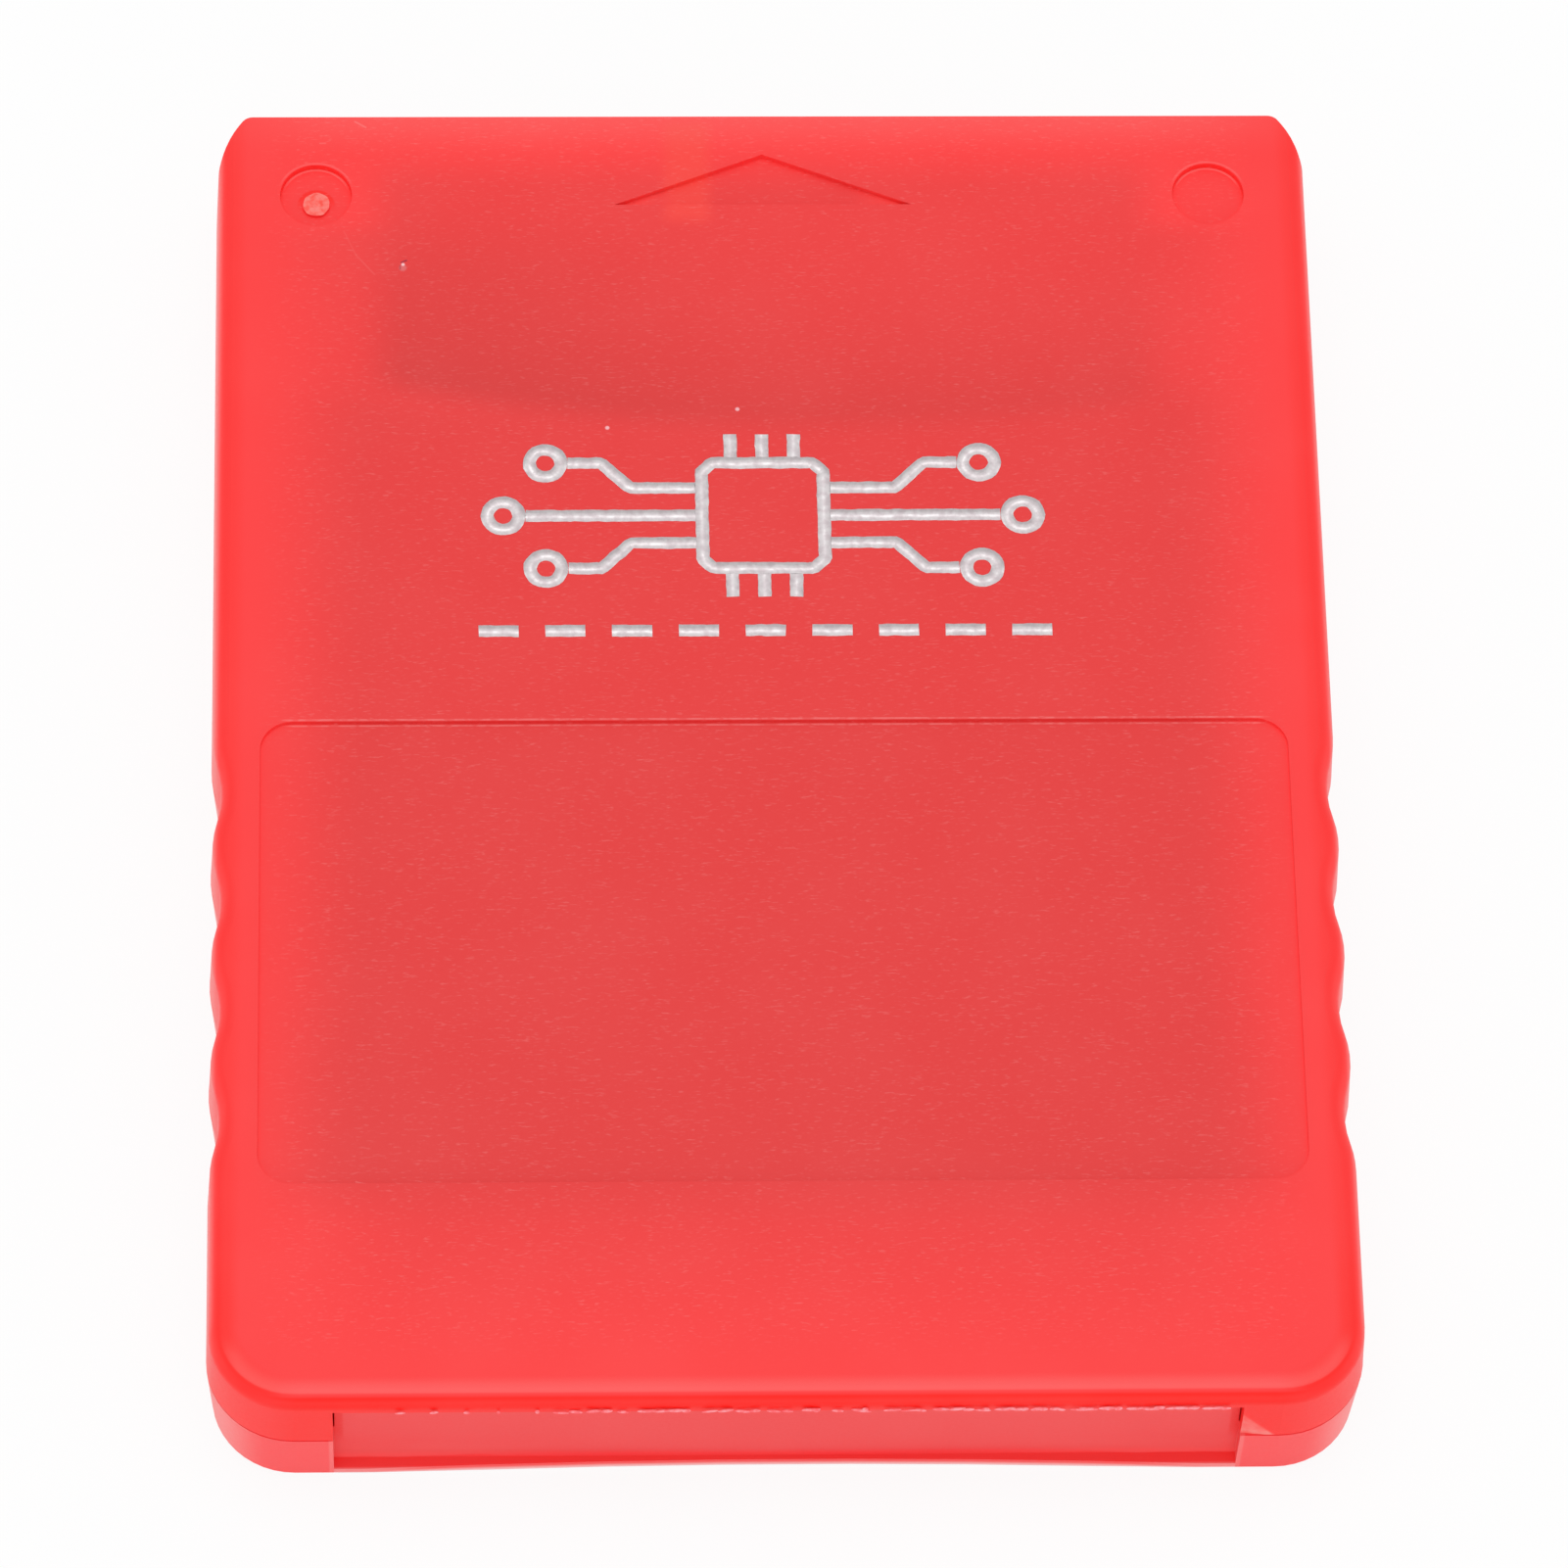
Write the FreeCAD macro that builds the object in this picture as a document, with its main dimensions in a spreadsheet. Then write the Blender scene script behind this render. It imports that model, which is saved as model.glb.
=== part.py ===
import FreeCAD, Part

import math
import os
import re

import Sketcher

# A memory card of a game console: two moulded shells round a circuit board.
# X runs across the card, +Y points to the end that goes into the console, Z is up.
# The origin is the middle of the underside. All sizes are in millimetres and degrees.
SIZES = {
    # Outside of the card
    "card_width": 42.0,
    "card_length": 55.0,
    "card_height": 6.0,
    "seam_height": 3.1,
    "draft_angle": 3.0,
    "tail_radius": 3.2,
    "nose_round_length": 3.5,
    "nose_round_radius": 5.3,
    "nose_ease_radius": 0.5,
    "top_round": 0.6,
    "base_bevel": 0.12,
    "seam_bevel": 0.08,
    # Grip waves along both sides
    "grip_pitch": 4.53,
    "grip_depth": 0.32,
    "grip_start": 0.1,
    "grip_count": 4,
    # Walls
    "wall": 1.4,
    "nose_wall": 1.0,
    "roof": 1.3,
    "base_floor": 1.2,
    # Shapes sunk into the top face
    "label_margin": 1.86,
    "label_length": 19.2,
    "label_tail_gap": 8.95,
    "label_radius": 1.2,
    "label_depth": 0.15,
    "mark_diameter": 2.76,
    "mark_depth": 0.26,
    "mark_side_gap": 3.87,
    "mark_nose_gap": 3.72,
    "stub_diameter": 1.05,
    "stub_height": 0.12,
    "stub_offset": 0.31,
    "arrow_width": 11.4,
    "arrow_length": 2.27,
    "arrow_depth": 0.22,
    "arrow_nose_gap": 1.89,
    # Window in the tail wall
    "window_margin": 4.6,
    "window_roof": 0.75,
    "sill_height": 0.45,
    "sill_setback": 0.1,
    "sill_bow": 0.33,
    "panel_setback": 0.6,
    "panel_thickness": 1.2,
    "panel_clearance": 0.05,
    # Flake broken off the wall beside the window
    "flake_width": 1.0,
    "flake_depth": 0.14,
    "flake_height": 2.1,
    "flake_tip": 0.12,
    # Circuit board and its tray
    "board_thickness": 1.0,
    "board_lift": 1.4,
    "board_margin": 2.7,
    "board_clearance": 0.2,
    "board_tail_gap": 9.5,
    "board_tail_cut": 1.6,
    "ear_gap": 1.5,
    "ear_length": 3.9,
    "ear_nose_gap": 4.1,
    "ear_step": 3.2,
    "tongue_gap": 0.2,
    "seat_width": 0.7,
    "rim_thickness": 0.8,
    "rim_height": 0.4,
    "hold_length": 3.0,
    "hold_inset": 4.0,
    "hold_clearance": 0.05,
    # Contact bay
    "bay_ledge": 1.3,
    "bay_length": 9.9,
    "bay_bow": 1.8,
    "bay_wall": 1.0,
    "relief_depth": 0.45,
    "key_slot_width": 1.5,
    "key_slot_length": 2.9,
    "key_clearance": 0.1,
    "key_drop": 0.5,
    # Pegs that hold the shells together
    "peg_diameter": 1.5,
    "peg_clearance": 0.05,
    "peg_bevel": 0.25,
    "peg_tip_gap": 0.5,
    "boss_diameter": 2.8,
    "boss_gap": 0.1,
    # Contacts
    "contact_places": 9,
    "contact_pitch": 2.54,
    "contact_width": 1.7,
    "contact_length": 7.5,
    "contact_thickness": 0.15,
    "contact_inset": 0.5,
    "contact_corner": 0.3,
    # Leaded chips
    "chip_thickness": 1.0,
    "chip_standoff": 0.1,
    "chip_bevel": 0.12,
    "dimple_diameter": 0.9,
    "dimple_depth": 0.08,
    "dimple_inset": 1.1,
    "lead_thickness": 0.15,
    "lead_shoulder": 0.15,
    "lead_foot": 0.5,
    "flash_length": 18.4,
    "flash_width": 12.0,
    "flash_leads_a_side": 24,
    "flash_lead_pitch": 0.5,
    "flash_lead_width": 0.22,
    "flash_tail_gap": 3.0,
    "controller_side": 7.0,
    "controller_leads_a_side": 8,
    "controller_lead_pitch": 0.8,
    "controller_lead_width": 0.35,
    "chip_gap": 1.2,
    # Small components
    "crystal_length": 3.2,
    "crystal_width": 2.5,
    "crystal_height": 0.7,
    "crystal_corner": 0.3,
    "crystal_offset": 10.6,
    "small_length": 1.6,
    "small_width": 0.8,
    "small_cap_length": 0.3,
    "small_cap_step": 0.04,
    "capacitor_height": 0.8,
    "resistor_height": 0.45,
    "capacitor_offset": 7.0,
    "capacitor_spread": 2.0,
    "resistor_spacing": 3.0,
    "resistor_gap": 2.0,
}

doc = FreeCAD.newDocument("memory_card")
sheet = doc.addObject("Spreadsheet::Sheet", "Sizes")
for row, (name, size) in enumerate(SIZES.items(), start=1):
    sheet.set(f"A{row}", name)
    sheet.set(f"B{row}", str(size))
    sheet.setAlias(f"B{row}", name)
doc.recompute()

# Places worked out from the sizes
SIDE = "card_width / 2"
END = "card_length / 2"
INNER_SIDE = "(card_width / 2 - wall)"
INNER_TAIL = "(-card_length / 2 + wall)"
INNER_NOSE = "(card_length / 2 - nose_wall)"
ROOF_UNDERSIDE = "(card_height - roof)"
WINDOW_SIDE = "(card_width / 2 - window_margin)"
WINDOW_TOP = "(card_height - window_roof)"
PANEL_FACE = "(-card_length / 2 + panel_setback)"
PANEL_BACK = "(-card_length / 2 + panel_setback + panel_thickness)"
BOARD_BASE = "(base_floor + board_lift)"
BOARD_TOP = "(base_floor + board_lift + board_thickness)"
BOARD_SIDE = "(card_width / 2 - wall - board_margin)"
BOARD_TAIL = "(-card_length / 2 + board_tail_gap)"
EAR_SIDE = "(card_width / 2 - wall - ear_gap)"
EAR_FAR = "(card_length / 2 - ear_nose_gap)"
EAR_NEAR = "(card_length / 2 - ear_nose_gap - ear_length)"
TONGUE_SIDE = "(card_width / 2 - wall - ear_gap - ear_step)"
TONGUE_END = "(card_length / 2 - nose_wall - tongue_gap)"
BAY_SIDE = f"({TONGUE_SIDE} - bay_ledge)"
BAY_BACK = "(card_length / 2 - bay_length)"
TRAY_SIDE = f"({BOARD_SIDE} + board_clearance + rim_thickness)"
TRAY_TAIL = f"({BOARD_TAIL} - board_clearance - rim_thickness)"
TRAY_NOSE = f"({EAR_NEAR} - board_clearance)"
PEG_X = f"(({TONGUE_SIDE} + {INNER_SIDE}) / 2)"
NOSE_PEG_Y = f"(({EAR_FAR} + {INNER_NOSE}) / 2)"
TAIL_PEG_Y = f"(({TRAY_TAIL} + {PANEL_BACK}) / 2)"
PEG_PLACES = [(x, y) for x in (PEG_X, f"-{PEG_X}") for y in (NOSE_PEG_Y, TAIL_PEG_Y)]
KEY_X = "(-contact_pitch)"
LEAD_REACH = "(lead_shoulder + lead_thickness + lead_foot)"
FLASH_Y = f"({BOARD_TAIL} + flash_tail_gap + flash_width / 2)"
CONTROLLER_Y = f"({FLASH_Y} + flash_width / 2 + chip_gap + {LEAD_REACH} + controller_side / 2)"
CHIP_TOP = f"({BOARD_BASE} - chip_standoff)"
CHIP_BASE = f"({BOARD_BASE} - chip_standoff - chip_thickness)"
SPARE = "1"  # how far a cut runs past the face that it opens
TOUCH = 1e-4  # heights this near count as one


# Sizes from the sheet
def in_sheet(expression):
    """The expression with the sheet's name before the name of each size."""
    def full(word):
        return f"Sizes.{word[0]}" if word[0] in SIZES else word[0]
    return re.sub(r"[a-z_]+", full, expression)


def number(expression):
    return float(sheet.evalExpression(in_sheet(expression)))


def bind(item, prop, expression):
    item.setExpression(prop, in_sheet(expression))


# Sketches
def sketch_at(body, name, height):
    """A level sketch at a height above the underside."""
    sketch = body.newObject("Sketcher::SketchObject", name)
    ground = next(item for item in body.Origin.OriginFeatures if item.Role == "XY_Plane")
    sketch.AttachmentSupport = [(ground, "")]
    sketch.MapMode = "FlatFace"
    bind(sketch, "AttachmentOffset.Base.z", height)
    return sketch


def constrain(sketch, expression, kind, *where):
    index = sketch.addConstraint(Sketcher.Constraint(kind, *where, number(expression)))
    bind(sketch, f"Constraints[{index}]", expression)


def arc_between(begin, end, radius, turn):
    """The short arc from begin to end that turns left or right, and its first and last point."""
    step = end - begin
    aside = FreeCAD.Vector(-step.y, step.x, 0).normalize()
    if turn == "right":
        aside = -aside
    drop = math.sqrt(radius**2 - (step.Length / 2) ** 2)
    centre = begin + step / 2 + aside * drop
    angles = [math.atan2(point.y - centre.y, point.x - centre.x) for point in (begin, end)]
    circle = Part.Circle(centre, FreeCAD.Vector(0, 0, 1), radius)
    if turn == "left":
        return Part.ArcOfCircle(circle, angles[0], angles[1]), 1, 2
    return Part.ArcOfCircle(circle, angles[1], angles[0]), 2, 1


def outline(sketch, corners):
    """A closed outline. A corner is (x, y), or (x, y, turn, radius) where an arc leads up to it."""
    points = [FreeCAD.Vector(number(corner[0]), number(corner[1]), 0) for corner in corners]
    runs = []
    for index, corner in enumerate(corners):
        begin, end = points[index - 1], points[index]
        if len(corner) == 2:
            curve, first, last = Part.LineSegment(begin, end), 1, 2
        else:
            curve, first, last = arc_between(begin, end, number(corner[3]), corner[2])
        runs.append((sketch.addGeometry(curve), first, last))
    for index, corner in enumerate(corners):
        curve, _, last = runs[index]
        following, first, _ = runs[(index + 1) % len(runs)]
        sketch.addConstraint(Sketcher.Constraint("Coincident", curve, last, following, first))
        constrain(sketch, corner[0], "DistanceX", -1, 1, curve, last)
        constrain(sketch, corner[1], "DistanceY", -1, 1, curve, last)
        if len(corner) > 2:
            constrain(sketch, corner[3], "Radius", curve)


def rectangle(sketch, left, right, near, far):
    outline(sketch, [(left, near), (right, near), (right, far), (left, far)])


def rounded_rectangle(sketch, left, right, near, far, radius):
    outline(sketch, [
        (f"{right} - {radius}", near),
        (right, f"{near} + {radius}", "left", radius),
        (right, f"{far} - {radius}"),
        (f"{right} - {radius}", far, "left", radius),
        (f"{left} + {radius}", far),
        (left, f"{far} - {radius}", "left", radius),
        (left, f"{near} + {radius}"),
        (f"{left} + {radius}", near, "left", radius),
    ])


def disc(sketch, x, y, diameter):
    centre = FreeCAD.Vector(number(x), number(y), 0)
    radius = f"{diameter} / 2"
    circle = sketch.addGeometry(Part.Circle(centre, FreeCAD.Vector(0, 0, 1), number(radius)))
    constrain(sketch, x, "DistanceX", -1, 1, circle, 3)
    constrain(sketch, y, "DistanceY", -1, 1, circle, 3)
    constrain(sketch, radius, "Radius", circle)


# Features
def finish_feature(body, feature):
    body.Tip = feature
    doc.recompute()
    return feature


def raise_block(body, name, low, high, draw):
    """Adds what draw outlines, from the height low up to the height high."""
    sketch = sketch_at(body, f"{name}_sketch", low)
    draw(sketch)
    pad = body.newObject("PartDesign::Pad", name)
    pad.Profile = sketch
    bind(pad, "Length", f"{high} - {low}")
    return finish_feature(body, pad)


def cut_block(body, name, low, high, draw):
    """Removes what draw outlines, from the height high down to the height low."""
    before = body.Tip.Shape.Volume
    sketch = sketch_at(body, f"{name}_sketch", high)
    draw(sketch)
    pocket = body.newObject("PartDesign::Pocket", name)
    pocket.Profile = sketch
    bind(pocket, "Length", f"{high} - {low}")
    finish_feature(body, pocket)
    if pocket.Shape.Volume >= before:
        raise RuntimeError(f"{name} cuts nothing")
    return pocket


def edges_of(feature, test):
    return [f"Edge{n}" for n, edge in enumerate(feature.Shape.Edges, start=1) if test(edge)]


def dress_edges(body, kind, name, size, test):
    """A fillet or chamfer on the edges of the body that pass the test."""
    base = body.Tip
    dress = body.newObject(f"PartDesign::{kind}", name)
    dress.Base = (base, edges_of(base, test))
    bind(dress, "Radius" if kind == "Fillet" else "Size", size)
    return finish_feature(body, dress)


def lies_at(edge, height):
    box = edge.BoundBox
    return abs(box.ZMin - height) < TOUCH and abs(box.ZMax - height) < TOUCH


def new_body(label):
    body = doc.addObject("PartDesign::Body", label)
    body.Label = label
    return body


# The card's outline, with its round tail and the grip waves, and the cuts that round its nose
def card_outline(sketch):
    radius = "(((grip_pitch / 4)^2 + (grip_depth / 2)^2) / grip_depth)"
    waves = range(round(number("grip_count")))
    grip_end = "(grip_start - grip_count * grip_pitch)"
    corners = [
        (f"{SIDE} - tail_radius", f"-{END}"),
        (SIDE, f"-{END} + tail_radius", "left", "tail_radius"),
        (SIDE, grip_end),
    ]
    for wave in waves:
        corners += [
            (f"{SIDE} - grip_depth / 2", f"{grip_end} + {wave + 0.25} * grip_pitch", "left", radius),
            (f"{SIDE} - grip_depth / 2", f"{grip_end} + {wave + 0.75} * grip_pitch", "right", radius),
        ]
    corners += [
        (SIDE, "grip_start", "left", radius),
        (SIDE, END),
        (f"-{SIDE}", END),
        (f"-{SIDE}", "grip_start"),
    ]
    for wave in waves:
        corners += [
            (f"-{SIDE} + grip_depth / 2", f"grip_start - {wave + 0.25} * grip_pitch", "left", radius),
            (f"-{SIDE} + grip_depth / 2", f"grip_start - {wave + 0.75} * grip_pitch", "right", radius),
        ]
    corners += [
        (f"-{SIDE}", grip_end, "left", radius),
        (f"-{SIDE}", f"-{END} + tail_radius"),
        (f"-{SIDE} + tail_radius", f"-{END}", "left", "tail_radius"),
    ]
    outline(sketch, corners)


def nose_corners(sketch):
    """What is cut off at the nose: an arc from each side to the nose."""
    drop = "(nose_round_radius - sqrt(nose_round_radius^2 - nose_round_length^2))"
    start, beyond = f"({END} - nose_round_length)", f"({END} + {SPARE})"
    inner, outer = f"({SIDE} - {drop})", f"({SIDE} + {SPARE})"
    outline(sketch, [
        (SIDE, start),
        (inner, END, "left", "nose_round_radius"),
        (inner, beyond),
        (outer, beyond),
        (outer, start),
    ])
    outline(sketch, [
        (f"-{inner}", END),
        (f"-{SIDE}", start, "left", "nose_round_radius"),
        (f"-{outer}", start),
        (f"-{outer}", beyond),
        (f"-{inner}", beyond),
    ])


def bay_outline(sketch, side, back, far):
    """The contact bay: straight sides, open towards the nose, with a bowed back edge."""
    radius = f"(({side})^2 + bay_bow^2) / (2 * bay_bow)"
    outline(sketch, [(f"-{side}", far), (f"-{side}", back), (side, back, "left", radius), (side, far)])


def cavity(sketch):
    rounded_rectangle(
        sketch, f"-{INNER_SIDE}", INNER_SIDE, INNER_TAIL, INNER_NOSE, "(tail_radius - wall)"
    )


def discs_at(places, diameter):
    def draw(sketch):
        for x, y in places:
            disc(sketch, x, y, diameter)
    return draw


def shell_blank(label, rising):
    """A solid half of the card, drawn in from the seam by the draft. Its edge at the nose stays sharp."""
    body = new_body(label)
    sketch = sketch_at(body, "card_outline", "seam_height")
    card_outline(sketch)
    pad = body.newObject("PartDesign::Pad", "half")
    pad.Profile = sketch
    pad.Reversed = not rising
    bind(pad, "Length", "card_height - seam_height" if rising else "seam_height")
    bind(pad, "TaperAngle", "-draft_angle")
    finish_feature(body, pad)
    face = number("card_height") if rising else 0.0
    seam, nose, ease = number("seam_height"), number(END), number("nose_ease_radius")

    def outer_edge(edge):
        box = edge.BoundBox
        at_nose = box.YLength < TOUCH and box.Center.y > 0
        return lies_at(edge, face) and not at_nose

    def nose_end(edge):
        box = edge.BoundBox
        return box.YMax > nose - ease and ease < box.ZLength and box.XLength < ease

    if rising:
        dress_edges(body, "Chamfer", "seam_edge", "seam_bevel", lambda edge: lies_at(edge, seam))
        dress_edges(body, "Fillet", "top_edge", "top_round", outer_edge)
        cut_block(body, "nose_corners", f"(seam_height - {SPARE})", "card_height", nose_corners)
        dress_edges(body, "Fillet", "nose_ease", "nose_ease_radius", nose_end)
    else:
        dress_edges(body, "Chamfer", "base_edge", "base_bevel", outer_edge)
        cut_block(body, "nose_corners", f"(-{SPARE})", "seam_height", nose_corners)
        dress_edges(body, "Fillet", "nose_ease", "nose_ease_radius", nose_end)
    return body


# Upper shell
def upper_shell():
    body = shell_blank("upper_shell", True)
    cut_block(body, "hollow", "seam_height", ROOF_UNDERSIDE, cavity)
    relief_top = f"({ROOF_UNDERSIDE} + relief_depth)"

    def relief(sketch):
        bay_outline(sketch, TONGUE_SIDE, BAY_BACK, INNER_NOSE)

    cut_block(body, "contact_relief", ROOF_UNDERSIDE, relief_top, relief)

    def label(sketch):
        side = f"({SIDE} - label_margin)"
        near = f"(-{END} + label_tail_gap)"
        rounded_rectangle(sketch, f"-{side}", side, near, f"({near} + label_length)", "label_radius")

    cut_block(body, "label_recess", "(card_height - label_depth)", "card_height", label)
    mark_x, mark_y = f"({SIDE} - mark_side_gap)", f"({END} - mark_nose_gap)"
    marks = discs_at([(mark_x, mark_y), (f"-{mark_x}", mark_y)], "mark_diameter")
    mark_floor = "(card_height - mark_depth)"
    cut_block(body, "round_marks", mark_floor, "card_height", marks)
    stub = discs_at([(f"-{mark_x}", f"{mark_y} - stub_offset")], "stub_diameter")
    raise_block(body, "gate_stub", mark_floor, f"({mark_floor} + stub_height)", stub)

    def arrow(sketch):
        tip, side = f"({END} - arrow_nose_gap)", "(arrow_width / 2)"
        foot = f"({tip} - arrow_length)"
        outline(sketch, [(f"-{side}", foot), (side, foot), ("0", tip)])

    cut_block(body, "arrow", "(card_height - arrow_depth)", "card_height", arrow)

    def tail_notch(sketch):
        far = f"({PANEL_BACK} + panel_clearance)"
        rectangle(sketch, f"-{WINDOW_SIDE}", WINDOW_SIDE, f"-{END} - {SPARE}", far)

    cut_block(body, "tail_notch", f"(seam_height - {SPARE})", WINDOW_TOP, tail_notch)
    broken_corner(body)

    def key_rib(sketch):
        half = "(key_slot_width / 2 - key_clearance)"
        near = f"({TONGUE_END} - key_slot_length + key_clearance)"
        rectangle(sketch, f"{KEY_X} - {half}", f"{KEY_X} + {half}", near, f"({END} - nose_wall / 2)")

    raise_block(body, "key_rib", "key_drop", relief_top, key_rib)
    shoulder = discs_at(PEG_PLACES, "boss_diameter")
    raise_block(body, "peg_shoulders", "(seam_height + boss_gap)", ROOF_UNDERSIDE, shoulder)
    peg_tip = "(base_floor + peg_tip_gap)"
    pegs = discs_at(PEG_PLACES, "peg_diameter")
    raise_block(body, "pegs", peg_tip, ROOF_UNDERSIDE, pegs)
    tip = number(peg_tip)
    dress_edges(body, "Chamfer", "peg_tips", "peg_bevel", lambda edge: lies_at(edge, tip))

    def hold_downs(sketch):
        inner = f"({BOARD_SIDE} - seat_width)"
        for near in (f"({BOARD_TAIL} + hold_inset)", f"({EAR_NEAR} - hold_inset - hold_length)"):
            rectangle(sketch, inner, BOARD_SIDE, near, f"{near} + hold_length")
            rectangle(sketch, f"-{BOARD_SIDE}", f"-{inner}", near, f"{near} + hold_length")

    raise_block(body, "hold_downs", f"({BOARD_TOP} + hold_clearance)", ROOF_UNDERSIDE, hold_downs)
    return body


def broken_corner(body):
    """The corner beside the window, where a flake is missing that was widest at the seam."""
    before = body.Tip.Shape.Volume

    def section(name, height, width, depth):
        sketch = sketch_at(body, name, height)
        outline(sketch, [
            (f"{WINDOW_SIDE} - {SPARE}", f"-{END} - {SPARE}"),
            (f"{WINDOW_SIDE} + {width}", f"-{END}"),
            (WINDOW_SIDE, f"-{END} + {depth}"),
        ])
        return sketch

    foot = section("flake_foot", "seam_height", "flake_width", "flake_depth")
    tip_depth = "flake_tip * flake_depth / flake_width"
    tip = section("flake_tip", "(seam_height + flake_height)", "flake_tip", tip_depth)
    loft = body.newObject("PartDesign::SubtractiveLoft", "broken_corner")
    loft.Profile = foot
    loft.Sections = [tip]
    loft.Ruled = True
    finish_feature(body, loft)
    if loft.Shape.Volume >= before:
        raise RuntimeError("broken_corner cuts nothing")


# Lower shell
def lower_shell():
    body = shell_blank("lower_shell", False)
    cut_block(body, "hollow", "base_floor", "seam_height", cavity)

    def sill_front(sketch):
        radius = f"({WINDOW_SIDE}^2 + sill_bow^2) / (2 * sill_bow)"
        outline(sketch, [
            (f"-{WINDOW_SIDE}", f"-{END} - {SPARE}"),
            (WINDOW_SIDE, f"-{END} - {SPARE}"),
            (WINDOW_SIDE, f"-{END} + sill_setback"),
            (f"-{WINDOW_SIDE}", f"-{END} + sill_setback", "left", radius),
        ])

    cut_block(body, "sill_front", f"(-{SPARE})", "sill_height", sill_front)

    def tail_notch(sketch):
        rectangle(sketch, f"-{WINDOW_SIDE}", WINDOW_SIDE, f"-{END} - {SPARE}", PANEL_FACE)

    cut_block(body, "tail_notch", "sill_height", f"(seam_height + {SPARE})", tail_notch)

    def panel(sketch):
        side = f"({WINDOW_SIDE} - panel_clearance)"
        rectangle(sketch, f"-{side}", side, PANEL_FACE, PANEL_BACK)

    raise_block(body, "tail_panel", "base_floor", f"({WINDOW_TOP} - panel_clearance)", panel)

    def tray(inner_side, inner_tail):
        def draw(sketch):
            outline(sketch, [
                (f"-{TRAY_SIDE}", TRAY_TAIL),
                (TRAY_SIDE, TRAY_TAIL),
                (TRAY_SIDE, TRAY_NOSE),
                (inner_side, TRAY_NOSE),
                (inner_side, inner_tail),
                (f"-{inner_side}", inner_tail),
                (f"-{inner_side}", TRAY_NOSE),
                (f"-{TRAY_SIDE}", TRAY_NOSE),
            ])
        return draw

    seat = tray(f"({BOARD_SIDE} - seat_width)", f"({BOARD_TAIL} + seat_width)")
    raise_block(body, "board_seat", "base_floor", BOARD_BASE, seat)
    rim = tray(f"({BOARD_SIDE} + board_clearance)", f"({BOARD_TAIL} - board_clearance)")
    raise_block(body, "board_rim", "base_floor", f"({BOARD_BASE} + rim_height)", rim)

    def ear_seats(sketch):
        inside_wall = f"({INNER_SIDE} + wall / 4)"
        rectangle(sketch, BOARD_SIDE, inside_wall, EAR_NEAR, EAR_FAR)
        rectangle(sketch, f"-{inside_wall}", f"-{BOARD_SIDE}", EAR_NEAR, EAR_FAR)

    raise_block(body, "ear_seats", "base_floor", BOARD_BASE, ear_seats)

    def bay_walls(sketch):
        bay_outline(
            sketch, f"({BAY_SIDE} + bay_wall)", f"({BAY_BACK} - bay_wall)", f"({END} - nose_wall / 2)"
        )

    raise_block(body, "bay_walls", "base_floor", BOARD_BASE, bay_walls)
    boss_top = "(seam_height - boss_gap)"
    raise_block(body, "peg_bosses", "base_floor", boss_top, discs_at(PEG_PLACES, "boss_diameter"))
    sockets = discs_at(PEG_PLACES, "(peg_diameter + 2 * peg_clearance)")
    cut_block(body, "peg_sockets", "base_floor", boss_top, sockets)

    def bay(sketch):
        bay_outline(sketch, BAY_SIDE, BAY_BACK, f"({END} + {SPARE})")

    cut_block(body, "contact_bay", f"(-{SPARE})", f"(seam_height + {SPARE})", bay)
    return body


# Circuit board
def circuit_board():
    body = new_body("circuit_board")
    slot_left = f"{KEY_X} - key_slot_width / 2"
    slot_right = f"{KEY_X} + key_slot_width / 2"
    slot_end = f"{TONGUE_END} - key_slot_length"

    def board(sketch):
        outline(sketch, [
            (f"{BOARD_SIDE} - board_tail_cut", BOARD_TAIL),
            (BOARD_SIDE, f"{BOARD_TAIL} + board_tail_cut"),
            (BOARD_SIDE, EAR_NEAR),
            (EAR_SIDE, EAR_NEAR),
            (EAR_SIDE, EAR_FAR),
            (TONGUE_SIDE, EAR_FAR),
            (TONGUE_SIDE, TONGUE_END),
            (slot_right, TONGUE_END),
            (slot_right, slot_end),
            (slot_left, slot_end),
            (slot_left, TONGUE_END),
            (f"-{TONGUE_SIDE}", TONGUE_END),
            (f"-{TONGUE_SIDE}", EAR_FAR),
            (f"-{EAR_SIDE}", EAR_FAR),
            (f"-{EAR_SIDE}", EAR_NEAR),
            (f"-{BOARD_SIDE}", EAR_NEAR),
            (f"-{BOARD_SIDE}", f"{BOARD_TAIL} + board_tail_cut"),
            (f"-{BOARD_SIDE} + board_tail_cut", BOARD_TAIL),
        ])

    raise_block(body, "board", BOARD_BASE, BOARD_TOP, board)
    return body


# Contacts: strips with cut corners under the tongue, one in each place but the key's
def contact_strip(sketch):
    far = f"({TONGUE_END} - contact_inset)"
    near = f"({far} - contact_length)"
    half = "(contact_width / 2)"
    end = f"({half} - contact_corner)"
    outline(sketch, [
        (half, f"{far} - contact_corner"),
        (end, far),
        (f"-{end}", far),
        (f"-{half}", f"{far} - contact_corner"),
        (f"-{half}", f"{near} + contact_corner"),
        (f"-{end}", near),
        (end, near),
        (half, f"{near} + contact_corner"),
    ])


def contacts():
    made = []
    for place in range(round(number("contact_places"))):
        offset = f"({place} - (contact_places - 1) / 2) * contact_pitch"
        if abs(number(f"{offset} - {KEY_X}")) < number("contact_pitch") / 2:
            continue
        body = new_body(f"contact_{len(made) + 1}")
        raise_block(body, "strip", f"({BOARD_BASE} - contact_thickness)", BOARD_BASE, contact_strip)
        bind(body, "Placement.Base.x", offset)
        made.append(body)
    return made


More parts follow.
